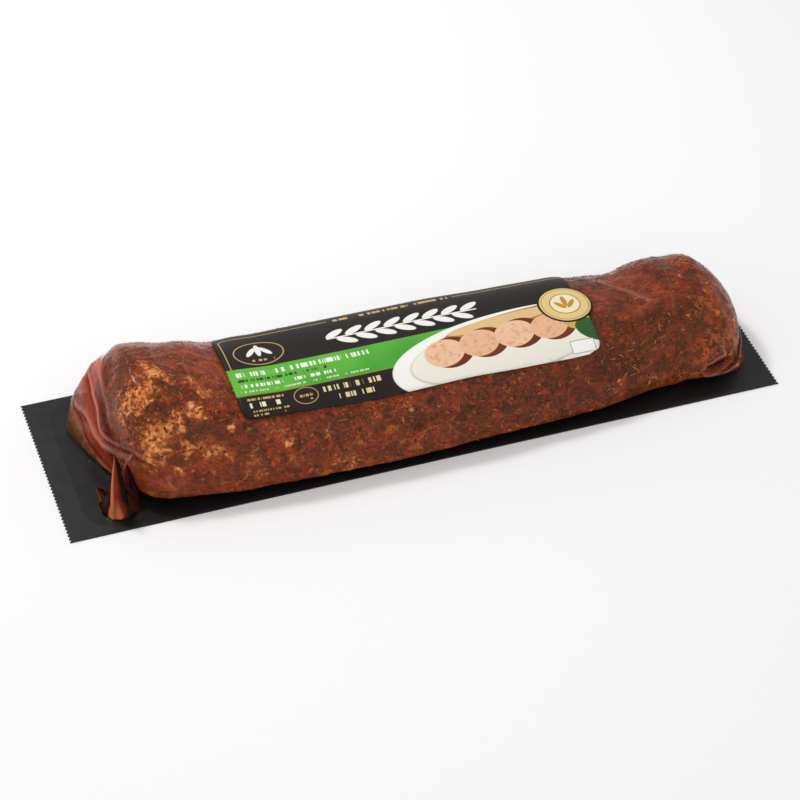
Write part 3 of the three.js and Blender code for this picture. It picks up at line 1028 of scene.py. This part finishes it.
def fin_object(fin, shrink):
    """An upright fold of film, drawn up from an oval foot to a thin leaning tip."""
    x, y, half_x, half_y, height, lean_x, lean_y = fin
    angle = np.linspace(0, 2 * math.pi, FIN_SIDES + 1)[:-1]
    up = np.linspace(0, 1, FIN_RINGS)[:, None]
    wide, lean = fin_run(up)
    pinch = 0.25 + 0.75 * np.abs(np.cos(angle)) ** 0.5
    point_x = x + np.cos(angle) * wide * (half_x - shrink) + lean_x * lean
    point_y = y + np.sin(angle) * wide * (half_y - shrink) * pinch + lean_y * lean
    z = FLOOR + up * (height - shrink) * np.ones_like(angle)
    grid = np.stack([point_x, point_y, z], -1)
    return mesh_object("fin", *closed_rings(grid, (x, y, FLOOR), (x + lean_x, y + lean_y, FLOOR + height)))


def fin_edge(points, fin, glow):
    """How strongly a painted glow of light through the juice lights a fold: most at its left edge and foot,
    none deep on its right.
    """
    x, y, half_x, half_y, height, lean_x, lean_y = fin
    up = np.clip((points[:, 2] - FLOOR) / height, 0, 1)
    wide, lean = fin_run(up)
    across = (points[:, 0] - x - lean_x * lean) / (half_x * wide)
    along = (points[:, 1] - y - lean_y * lean) / (half_y * wide)
    inside = 1 - rise_from(np.hypot(across, along), 1, 0.25)
    edge = 0.6 * rise_from(-across, 0.56, 0.3) + 0.42 * rise_from(-across, -0.35, 0.5)
    foot = 0.5 * (1 - rise_from(up, 0, 0.34)) * rise_from(-np.abs(across), -0.75, 0.4)
    return glow * inside * np.clip(edge + foot, 0, 1)


# Creases in the film by pixel of the photograph: their points, half width in mm, how bright a painted
# highlight they carry (or how dark a painted shade, below 0), and how far they rise or sink in mm
CREASES = (
    (((89, 374), (92, 386), (95, 396), (98, 407), (99.5, 421), (101, 430), (105, 439), (116, 444),
      (130, 449), (142, 457)), 0.8, 0.6, 1.0),
    (((87, 380), (90, 392), (93, 408), (95, 424), (100, 436), (109, 445), (120, 452), (132, 458)),
     2.2, -0.5, -1.1),
    (((72.5, 395), (76, 405), (87, 415), (92, 427), (97, 438), (103, 446), (116, 454), (126, 458)),
     1.4, 0.35, 0.6),
    (((102, 350), (99, 361), (100, 375), (103, 388), (107, 405), (109, 420)), 1.5, 0.4, 0.4),
    (((105, 346), (98, 357), (93, 370)), 1.0, 0.3, 0.2),
    (((66, 430), (80, 445), (98, 460), (112, 473)), 0.9, 0.2, 0.2),
    (((71, 404), (79, 421), (87, 440), (99, 458), (110, 470)), 1.3, -0.6, -0.6),
    (((114.5, 458), (118, 465), (123, 474)), 0.6, 0.7, 0.2),
    (((123.5, 474), (126, 465), (129.5, 456)), 0.6, 0.7, 0.6),
    (((130, 456), (137, 460), (146, 465)), 0.9, -0.8, -0.8),
    (((125, 476), (138, 481), (150, 488)), 0.8, 0.3, 0.3),
    (((95, 500), (99, 511), (107, 519), (119, 522), (135, 519)), 0.7, 0.5, 0.1),
    (((150, 490), (165, 494), (185, 492), (205, 494), (230, 490)), 0.8, 0.3, 0.2),
    (((150, 357), (170, 352), (192, 353), (212, 360)), 0.6, 0.55, 0.4),
    (((113, 351), (125, 347), (140, 346)), 0.5, 0.6, 0.3),
    (((120, 357), (135, 353), (150, 350), (162, 345)), 0.5, 0.5, 0.3),
    (((128, 362), (143, 357), (155, 357)), 0.4, 0.45, 0.2),
    (((176, 340), (185, 347), (183, 362), (190, 378)), 0.5, 0.5, 0.3),
    (((196, 356), (203, 366), (212, 372), (218, 384)), 0.5, 0.4, 0.3),
    (((600, 283), (615, 287), (628, 291), (640, 297), (650, 300)), 0.9, 0.6, 0.4),
    (((595, 291), (610, 296), (625, 300)), 0.6, 0.4, 0.2),
    (((606, 277), (622, 281), (634, 287)), 0.5, 0.4, 0.2),
    (((630, 268), (645, 263), (660, 264)), 0.5, 0.55, 0.3),
    (((664, 268), (668, 280), (672, 296), (674, 308)), 0.5, 0.4, 0.3),
    (((705, 266), (717, 276), (725, 290), (729, 303)), 0.5, 0.6, 0.3),
    (((712, 282), (718, 296), (722, 312), (728, 322)), 0.5, 0.5, 0.3),
    (((731, 308), (737, 322), (740, 334), (741, 346), (740, 356)), 0.6, 0.7, 0.2),
    (((714, 316), (720, 330), (727, 340), (731, 352)), 1.4, -0.4, -0.6),
    (((709, 330), (716, 340), (723, 347), (726, 355)), 0.9, 0.5, 0.5),
    (((724, 349), (728, 355), (731, 361)), 1.0, -0.7, -0.8),
    (((711, 369), (718, 367), (726, 363)), 2.2, -1.0, -2.0),
    (((702, 371), (711, 364), (719, 358), (726, 354)), 0.6, 0.75, 0.7),
    (((705, 376), (716, 374), (726, 371), (737, 364)), 0.6, 0.8, 0.7),
    (((729, 330), (734, 342), (736, 354)), 0.7, 0.4, 0.4),
)

# A crease is broken where two of its points lie farther apart than this in mm, across the form's edge
LONGEST_STEP = 25.0


def crease_fields(points, tree):
    """How bright a painted highlight and how dark a painted shade the creases lay on each film point, and
    how far they lift it in mm.
    """
    bright, dark, lift = np.zeros((3, len(points)))
    for pixels, half_width, amount, rise in CREASES:
        hits = [seen_point(tree, x, y) for x, y in pixels]
        hits = [np.array(h) for h in hits if h is not None]
        near = np.zeros(len(points))
        for a, b in zip(hits, hits[1:]):
            along = b - a
            length = np.linalg.norm(along)
            if length > LONGEST_STEP * MM:
                continue
            t = np.clip((points - a) @ along / max(length ** 2, 1e-12), 0, 1)
            far = np.linalg.norm(points - a - t[:, None] * along, axis=1) / (half_width * MM)
            near = np.maximum(near, np.exp(-far ** 2))
        bright = np.maximum(bright, max(amount, 0) * near)
        dark = np.maximum(dark, max(-amount, 0) * near)
        lift += rise * near
    return bright, dark, lift


@once
def scatter_tree():
    """Geometry nodes that strew one kind of seasoning over the meat, as real mesh."""
    tree = bpy.data.node_groups.new("strew_seasoning", "GeometryNodeTree")
    sockets = (
        ("Meat", "Geometry"), ("Grains per m2", "Float"), ("Where", "String"), ("Length", "Float"),
        ("Width", "Float"), ("Thickness", "Float"), ("Unevenness", "Float"), ("Tilt", "Float"),
        ("Lift", "Float"), ("Sides", "Int"), ("Seed", "Int"), ("Finish", "Material"),
    )
    for label, socket in sockets:
        tree.interface.new_socket(label, in_out="INPUT", socket_type="NodeSocket" + socket)
    tree.interface.new_socket("Grains", in_out="OUTPUT", socket_type="NodeSocketGeometry")
    w = Wiring(tree)
    entry = w.add("NodeGroupInput").outputs
    named = w.add("GeometryNodeInputNamedAttribute", {"Name": entry["Where"]}, data_type="FLOAT").outputs[0]
    density = w.times(named, entry["Grains per m2"])
    feeds = {"Mesh": entry["Meat"], "Density": density, "Seed": entry["Seed"]}
    strewn = w.add("GeometryNodeDistributePointsOnFaces", feeds, distribute_method="RANDOM").outputs
    offset = w.add("ShaderNodeVectorMath", {0: strewn["Normal"], "Scale": entry["Lift"]}, operation="SCALE")
    lifted = w.add("GeometryNodeSetPosition", {"Geometry": strewn["Points"], "Offset": offset.outputs[0]})

    def random(low, high, step):
        seed = w.plus(entry["Seed"], float(step))
        feeds = {2: low, 3: high, "Seed": seed}
        return w.add("FunctionNodeRandomValue", feeds, data_type="FLOAT").outputs[1]

    away = w.times(entry["Tilt"], -1.0)
    tilts = [random(away, entry["Tilt"], 1), random(away, entry["Tilt"], 2), random(0.0, 2 * math.pi, 3)]
    turn = w.add("ShaderNodeCombineXYZ", dict(enumerate(tilts))).outputs[0]
    turn = w.add("FunctionNodeEulerToRotation", {0: turn}).outputs[0]
    feeds = {"Rotation": strewn["Rotation"], "Rotate By": turn}
    lying = w.add("FunctionNodeRotateRotation", feeds, rotation_space="LOCAL").outputs[0]
    smallest = w.less(1.0, entry["Unevenness"])
    largest = w.plus(1.0, entry["Unevenness"])
    sizes = [
        w.times(entry[name], random(smallest, largest, 4 + i))
        for i, name in enumerate(("Length", "Width", "Thickness"))
    ]
    scale = w.add("ShaderNodeCombineXYZ", dict(enumerate(sizes))).outputs[0]
    feeds = {"Segments": entry["Sides"], "Rings": 4, "Radius": 0.5}
    grain = w.add("GeometryNodeMeshUVSphere", feeds).outputs[0]
    feeds = {"Points": lifted.outputs[0], "Instance": grain, "Rotation": lying, "Scale": scale}
    strewn_grains = w.add("GeometryNodeInstanceOnPoints", feeds).outputs[0]
    feeds = {"Geometry": strewn_grains, "Name": "tint", "Value": random(0.0, 1.0, 9)}
    tinted = w.add("GeometryNodeStoreNamedAttribute", feeds, data_type="FLOAT", domain="INSTANCE")
    real = w.add("GeometryNodeRealizeInstances", {0: tinted.outputs[0]}).outputs[0]
    feeds = {"Geometry": real, "Material": entry["Finish"]}
    finish = w.add("GeometryNodeSetMaterial", feeds).outputs[0]
    w.feed(w.add("NodeGroupOutput").inputs[0], finish)
    return tree


def strew(kind, meat, finish, values):
    """Strews one kind of seasoning over the meat and returns it as a plain mesh object."""
    host = linked(kind + "_host", meat.data.copy())
    tree = scatter_tree()
    modifier = host.modifiers.new("strew", "NODES")
    modifier.node_group = tree
    values = {**values, "Finish": finish}
    for item in tree.interface.items_tree:
        if item.in_out == "INPUT" and item.name in values:
            modifier[item.identifier] = values[item.name]
    result = applied(host, kind)
    dress(result, finish)
    result.data.shade_smooth()
    return result


def label_outline():
    """The label's outline in mm: round corners, a bowed front edge, and a seal over its right side."""
    left, right = LABEL["x"] - LABEL["length"] / 2, LABEL["x"] + LABEL["length"] / 2
    low, high = LABEL["y"] - LABEL["width"] / 2, LABEL["y"] + LABEL["width"] / 2
    corner = LABEL["corner"]
    reach = math.acos((right - SEAL["x"]) / SEAL["radius"])
    arcs = (
        (right - corner, low + corner, corner, -math.pi / 2, 0),
        (SEAL["x"], SEAL["y"], SEAL["radius"], -reach, reach),
        (right - corner, high - corner, corner, 0, math.pi / 2),
        (left + corner, high - corner, corner, math.pi / 2, math.pi),
        (left + corner, low + corner, corner, math.pi, math.pi * 1.5),
    )
    points = []
    for x, y, radius, start, end in arcs:
        for angle in np.linspace(start, end, ARC_POINTS):
            points.append((x + radius * math.cos(angle), y + radius * math.sin(angle)))
    run = np.linspace(0, 1, FRONT_POINTS)[1:-1]
    front = mix(left + corner, right - corner, run)
    points += list(zip(front, low - 4 * LABEL["bow"] * run * (1 - run)))
    spaced = []
    for a, b in zip(points, points[1:] + points[:1]):
        steps = max(1, int(math.dist(a, b) / LABEL_STEP))
        spaced += [(mix(a[0], b[0], k / steps), mix(a[1], b[1], k / steps)) for k in range(steps)]
    return spaced


def label_mesh():
    """The label as a thin bent sheet, with its print's coordinates in an attribute."""
    outline = label_outline()
    edge = np.array(outline)
    xs = np.arange(edge[:, 0].min(), edge[:, 0].max(), LABEL_STEP)
    ys = np.arange(edge[:, 1].min(), edge[:, 1].max(), LABEL_STEP)
    grid = [(x, y) for x in xs for y in ys]
    inner = [(x, y) for x, y in grid if np.min((edge[:, 0] - x) ** 2 + (edge[:, 1] - y) ** 2) > 1.0]
    flat = [Vector(p) for p in outline + inner]
    loop = list(range(len(outline)))
    verts, _, faces, *_ = geometry.delaunay_2d_cdt(flat, [], [loop], 1, 1e-4)
    plan = np.array([tuple(v) for v in verts])
    upper = np.column_stack([plan, top_at(plan[:, 0], plan[:, 1]) + GAP + LABEL["thick"]])
    lower = upper - (0, 0, LABEL["thick"])
    count = len(plan)
    directed = {(a, b): None for face in faces for a, b in zip(face, face[1:] + face[:1])}
    rim = [(a, b) for a, b in directed if (b, a) not in directed]
    all_faces = [tuple(f) for f in faces]
    all_faces += [tuple(i + count for i in reversed(f)) for f in faces]
    all_faces += [(b, a, a + count, b + count) for a, b in rim]
    made = mesh_object("label_skin", np.concatenate([upper, lower]), all_faces)
    across = arc_from_middle(plan)
    spots = np.column_stack([plan[:, 0] - LABEL["x"], across, np.zeros(count)])
    layer = made.data.attributes.new("print_place", "FLOAT_VECTOR", "POINT")
    layer.data.foreach_set("vector", np.concatenate([spots, spots]).astype(np.float32).ravel())
    return made


def arc_from_middle(plan):
    """Length along the label's curve from its print's middle line to each point of its plan, in mm."""
    y = np.linspace(PRINT_MIDDLE, plan[:, 1], BEND_SAMPLES)
    z = top_at(np.broadcast_to(plan[:, 0], y.shape), y)
    total = np.hypot(np.diff(y, axis=0), np.diff(z, axis=0)).sum(axis=0)
    return total * np.sign(plan[:, 1] - PRINT_MIDDLE)


def colour_setting(name, description, default):
    options = {"name": name, "description": description, "default": default[:3]}
    return bpy.props.FloatVectorProperty(subtype="COLOR", **options)


def number_setting(name, description, default, **options):
    return bpy.props.FloatProperty(name=name, description=description, default=default, **options)


def count_setting(name, description, default, **options):
    return bpy.props.IntProperty(name=name, description=description, default=default, **options)


class WebSettings(bpy.types.PropertyGroup):
    """The black web under the pack."""

    colour: colour_setting("Colour", "Colour of the web", (0.0075, 0.0073, 0.0073))
    roughness: number_setting("Roughness", "Roughness of the web's face", 0.32, min=0.1, max=0.9)
    knurl_pitch: number_setting("Knurl pitch", "Distance between the seal's ridges", 0.0011, unit="LENGTH")


class MeatSettings(bpy.types.PropertyGroup):
    """The meat under its rub."""

    colour: colour_setting("Colour", "Colour of the bare meat", linear("8a2c1c"))
    inset: number_setting("Inset", "How far the meat lies inside its film", 0.0004, unit="LENGTH")
    along: count_setting("Rings", "Rings along the meat", 340, min=60, max=420)
    around: count_setting("Sides", "Points round the meat", 230, min=60, max=320)


class JuiceSettings(bpy.types.PropertyGroup):
    """Juice in the folds of the film."""

    # Near-black: the juice's own dark red, deepened into painted shade under the meat's cheek
    colour: colour_setting("Colour", "Colour of deep juice", linear("100202"))
    # The edge colour is a painted glow of light coming through the juice
    edge_colour: colour_setting("Edge colour", "Colour of thin juice", linear("cc7450"))


class SeasoningSettings(bpy.types.PropertyGroup):
    """The rub of herbs and spices."""

    density: number_setting("Density", "Share of the usual amount", 1, subtype="FACTOR", min=0, max=1.5)
    seed: count_setting("Seed", "Seed of the strewing", 11)


class FilmSettings(bpy.types.PropertyGroup):
    """The clear film over everything."""

    roughness: number_setting("Roughness", "Roughness of the film", 0.13, min=0.02, max=0.8)
    gloss_ior: number_setting("Gloss", "Refractive index that sets the gloss", 1.28, min=1, max=3)
    fineness: number_setting("Fineness", "Size of the mesh's faces", 0.0009, unit="LENGTH", min=0.0005)
    contact_veil: number_setting("Contact veil", "How much it hides where it clings", 0.07, subtype="FACTOR")
    loose_veil: number_setting("Loose veil", "How much it hides just off the meat", 0.78, subtype="FACTOR")
    tent_veil: number_setting("Tent veil", "How much it hides far from the meat", 0.45, subtype="FACTOR")


class LabelSettings(bpy.types.PropertyGroup):
    """The stuck-on label."""

    field_colour: colour_setting("Field", "Colour of the label's field", linear("211c1a"))
    band_colour: colour_setting("Band", "Colour of the label's band", linear("46a032"))


class StageSettings(bpy.types.PropertyGroup):
    """Floor, light and camera."""

    key_power: number_setting("Key light", "Power of the main light", 3.5, unit="POWER")
    fill_power: number_setting("Fill light", "Power of the fill light", 1.2, unit="POWER")
    sky: number_setting("Sky", "Strength of the pale surroundings", 0.66, min=0, max=3)


def settings(name):
    return getattr(bpy.context.scene, name)


class PACK_OT_web(bpy.types.Operator):
    """Gives the web its black plastic finish"""

    bl_idname = "tenderloin.web"
    bl_label = "Backing Web"

    def execute(self, context):
        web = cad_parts["backing_web"]
        dress(web, black_web_finish(settings("pack_web")))
        return {"FINISHED"}


class PACK_OT_meat(bpy.types.Operator):
    """Makes the rubbed meat that lies inside the film"""

    bl_idname = "tenderloin.meat"
    bl_label = "Meat"

    def execute(self, context):
        chosen = settings("pack_meat")
        grid = wrapped_grid(chosen.along, chosen.around)
        lift = skin_relief(grid) + relief(grid, *CRUST_RELIEF) - chosen.inset / MM
        skin = grid + grid_normals(grid) * lift[..., None]
        skin[..., 2] = np.maximum(skin[..., 2], FLOOR + GAP)
        start, end = skin[0].mean(axis=0), skin[-1].mean(axis=0)
        meat = mesh_object("meat", *closed_rings(skin, start, end), meat_finish(chosen))
        mesh, points = meat.data, coordinates(meat.data)
        tree = ray_tree(mesh)
        drift = [fractal(points / MM, DRIFT_SIZE, DRIFT_OCTAVES, DRIFT_SEED + i) for i in range(3)]
        wandered = points + np.stack(drift, -1) * DRIFT_REACH * MM
        marks = {"gold": GOLD_MARKS, "dark": DARK_MARKS, "slick_and_sheen": SLICK_AND_SHEEN_MARKS, "orange": ORANGE_MARKS}
        for name, spots in marks.items():
            store(mesh, name, mark_strength(wandered, tree, spots))
        _, _, lift = crease_fields(points, tree)
        move_to(mesh, points + normals(mesh) * (np.minimum(lift, 0) * MM)[:, None])
        along, height = points[:, 0] / MM, points[:, 2] / MM
        gold, dark, slick_and_sheen = (read(mesh, name) for name in ("gold", "dark", "slick_and_sheen"))
        rub = rise_from(height, 3, 4) * (1 - 0.8 * slick_and_sheen)
        fields = {
            "calm": rise_from(along, -60, 110) - rise_from(along, 112, 18),
            # The lower edge, where a painted glow of light through the film and juice lifts the colour
            "rim": 1 - rise_from(height, 2, 7),
            "rub": rub,
            "gold_rub": np.clip(gold * 1.2, 0.02, 1) * rub,
            "herb_rub": np.clip(0.3 + dark + 0.45 * rise_from(along, 60, 30), 0, 1.4) * rub,
        }
        for name, amounts in fields.items():
            store(mesh, name, amounts)
        finished(meat, "seasoned_meat")
        return {"FINISHED"}


class PACK_OT_juice(bpy.types.Operator):
    """Makes the juice that stands in the folds of the film"""

    bl_idname = "tenderloin.juice"
    bl_label = "Juice"

    def execute(self, context):
        finish = juice_finish(settings("pack_juice"))
        pocket = pocket_object(POCKET_INSET)
        fins = [fin_object(fin, FIN_INSET) for fin in FINS]
        juice = union("juice", [pocket, *fins])
        dress(juice, finish)
        juice.data.shade_smooth()
        points = coordinates(juice.data) / MM
        # Painted glow of light through each fold's juice, weakest in the third fold, which stands in the
        # cheek's shade
        glow_edge = [fin_edge(points, fin, glow) for fin, glow in zip(FINS, FIN_GLOW)]
        store(juice.data, "glow_edge", np.max(glow_edge, axis=0))
        finished(juice, "seasoned_meat")
        return {"FINISHED"}


# Kinds of seasoning: name, dark and light colour, roughness, field it follows, grains per square metre,
# length, width, thickness, share by which sizes vary, tilt, and lift off the meat, sizes in mm
SEASONINGS = (
    ("herb_needles", "3e2814", "bc783a", 0.6, "herb_rub", 22000, 3.4, 0.42, 0.28, 0.5, 0.12, 0.06),
    ("pepper_specks", "120c08", "3a261a", 0.55, "rub", 90000, 0.55, 0.48, 0.4, 0.5, 0.5, 0.0),
    ("garlic_granules", "a04c1c", "f2b474", 0.5, "gold_rub", 8000, 0.85, 0.6, 0.4, 0.65, 0.6, -0.16),
    ("orange_flakes", "9a4418", "c4702f", 0.5, "rub", 22000, 1.5, 0.55, 0.35, 0.55, 0.35, 0.0),
)
GRAIN_SIDES = 5


class PACK_OT_seasoning(bpy.types.Operator):
    """Strews herbs, pepper, garlic and flakes over the meat"""

    bl_idname = "tenderloin.seasoning"
    bl_label = "Seasoning"

    def execute(self, context):
        chosen = settings("pack_seasoning")
        meat = bpy.data.objects["meat"]
        for i, row in enumerate(SEASONINGS):
            name, dark, light, roughness, where, count, length, width, thick, uneven, tilt, lift = row
            values = {
                "Grains per m2": count * chosen.density,
                "Where": where,
                "Length": length * MM,
                "Width": width * MM,
                "Thickness": thick * MM,
                "Unevenness": uneven,
                "Tilt": tilt,
                "Lift": lift * MM,
                "Sides": GRAIN_SIDES,
                "Seed": chosen.seed + 10 * i,
            }
            finish = spice_finish(name, dark, light, roughness)
            finished(strew(name, meat, finish, values), "seasoned_meat")
        return {"FINISHED"}


# Rings and points of the body under the film, and how the film's mesh is smoothed
BODY_RINGS, BODY_SIDES = 220, 150
SOFTEN_FACTOR, SOFTEN_STEPS = 0.5, 5

# Reach of the clear film round the pocket along X and Y, and the levels over which it ends, in mm
CLEAR_REACH_X, CLEAR_REACH_Y = 11, 12
CLEAR_LEVEL, CLEAR_FADE = 12, 3


class PACK_OT_film(bpy.types.Operator):
    """Makes the clear film that clings to the meat and tents down to the web"""

    bl_idname = "tenderloin.film"
    bl_label = "Clear Film"

    def execute(self, context):
        chosen = settings("pack_film")
        grid = wrapped_grid(BODY_RINGS, BODY_SIDES)
        ends = grid[0].mean(axis=0), grid[-1].mean(axis=0)
        body = mesh_object("film_body", *closed_rings(grid, *ends))
        drapes = [drape_object(body, start, pulled_to) for start, pulled_to in DRAPES]
        film = union("film", [body, *drapes, pocket_object()])
        dress(film, film_finish(chosen))
        cloth = film.modifiers.new("even", "REMESH")
        cloth.mode, cloth.voxel_size, cloth.use_smooth_shade = "VOXEL", chosen.fineness, True
        soften = film.modifiers.new("soften", "SMOOTH")
        soften.factor, soften.iterations = SOFTEN_FACTOR, SOFTEN_STEPS
        film = applied(film, "film")
        points = coordinates(film.data)
        # The creases' painted highlight, their painted shade, and how far they lift the film
        crease_highlight, fold, lift = crease_fields(points, ray_tree(film.data))
        points = points + normals(film.data) * ((skin_relief(points / MM) + lift) * MM)[:, None]
        points[:, 2] = np.maximum(points[:, 2], FLOOR * MM)
        move_to(film.data, points)
        meat_tree = ray_tree(bpy.data.objects["meat"].data)
        x, y, height = points.T / MM
        corner = np.hypot((x - POCKET[0]) / CLEAR_REACH_X, (y - POCKET[1]) / CLEAR_REACH_Y)
        by_pocket = 1 - rise_from(corner, 1, 0.25)
        values = {
            "gap": np.array([meat_tree.find_nearest(p)[3] for p in points.tolist()]) / MM,
            "crease_highlight": crease_highlight,
            "fold": fold,
            "clear": by_pocket * (1 - rise_from(height, CLEAR_LEVEL, CLEAR_FADE)),
            "low": 1 - rise_from(height, 0, 3),
        }
        for name, amounts in values.items():
            store(film.data, name, amounts)
        finished(film, "clear_film", "film_pack")
        return {"FINISHED"}


class PACK_OT_label(bpy.types.Operator):
    """Makes the stuck-on label with its plain print"""

    bl_idname = "tenderloin.label"
    bl_label = "Label"

    def execute(self, context):
        label = label_mesh()
        label.data.materials.append(label_finish(settings("pack_label")))
        finished(label, "label", "label")
        return {"FINISHED"}


class PACK_OT_stage(bpy.types.Operator):
    """Sets a pale floor, soft lights and the camera"""

    bl_idname = "tenderloin.stage"
    bl_label = "Stage"

    def execute(self, context):
        chosen = settings("pack_stage")
        corners = [(x * STAGE_REACH, y * STAGE_REACH, 0) for x, y in ((-1, -1), (1, -1), (1, 1), (-1, 1))]
        finish, *_ = material("pale_floor", opaque(FLOOR_WHITE), 1.0, ior=1.1)
        floor = mesh_object("floor", corners, [(0, 1, 2, 3)], finish)
        world = bpy.data.worlds.new("pale_room")
        world.use_nodes = True
        sky = world.node_tree.nodes["Background"].inputs
        sky["Color"].default_value = (1, 1, 1, 1)
        sky["Strength"].default_value = chosen.sky
        context.scene.world = world
        area_light("key", chosen.key_power, *KEY_LIGHT)
        area_light("fill", chosen.fill_power, *FILL_LIGHT)
        lens = bpy.data.cameras.new("camera")
        lens.sensor_width = SENSOR
        lens.lens = SENSOR * FOCAL / PHOTO_SIDE
        camera = linked("camera", lens)
        right, up, back = view_axes()
        turn = Matrix((right, up, back)).transposed().to_4x4()
        camera.matrix_world = Matrix.Translation(EYE * MM) @ turn
        context.scene.camera = camera
        context.scene.view_settings.view_transform = "Standard"
        return {"FINISHED"}


def area_light(name, power, side, at, towards):
    """A soft square light, from places in mm."""
    lamp = bpy.data.lights.new(name, "AREA")
    lamp.energy, lamp.size = power, side * MM
    made = linked(name, lamp)
    made.location = Vector(at) * MM
    made.rotation_euler = (Vector(at) - Vector(towards)).to_track_quat("Z", "Y").to_euler()


class PACK_PT_panel(bpy.types.Panel):
    """Lists the steps that dress the pack"""

    bl_label = "Film-packed Tenderloin"
    bl_space_type = "VIEW_3D"
    bl_region_type = "UI"
    bl_category = "Tenderloin"

    def draw(self, context):
        for step in STEPS:
            self.layout.operator(step.bl_idname)


STEPS = (
    PACK_OT_stage, PACK_OT_web, PACK_OT_meat, PACK_OT_juice, PACK_OT_seasoning, PACK_OT_film, PACK_OT_label,
)
GROUPS = {
    "pack_web": WebSettings,
    "pack_meat": MeatSettings,
    "pack_juice": JuiceSettings,
    "pack_seasoning": SeasoningSettings,
    "pack_film": FilmSettings,
    "pack_label": LabelSettings,
    "pack_stage": StageSettings,
}


def register():
    for cls in (*GROUPS.values(), *STEPS, PACK_PT_panel):
        bpy.utils.register_class(cls)
    for name, group in GROUPS.items():
        setattr(bpy.types.Scene, name, bpy.props.PointerProperty(type=group))


def unregister():
    for name in GROUPS:
        delattr(bpy.types.Scene, name)
    for cls in reversed((*GROUPS.values(), *STEPS, PACK_PT_panel)):
        bpy.utils.unregister_class(cls)


def main():
    register()
    bpy.ops.tenderloin.stage()
    bpy.ops.tenderloin.web()
    bpy.ops.tenderloin.meat()
    bpy.ops.tenderloin.juice()
    bpy.ops.tenderloin.seasoning()
    bpy.ops.tenderloin.film()
    bpy.ops.tenderloin.label()


if __name__ == "__main__":
    main()
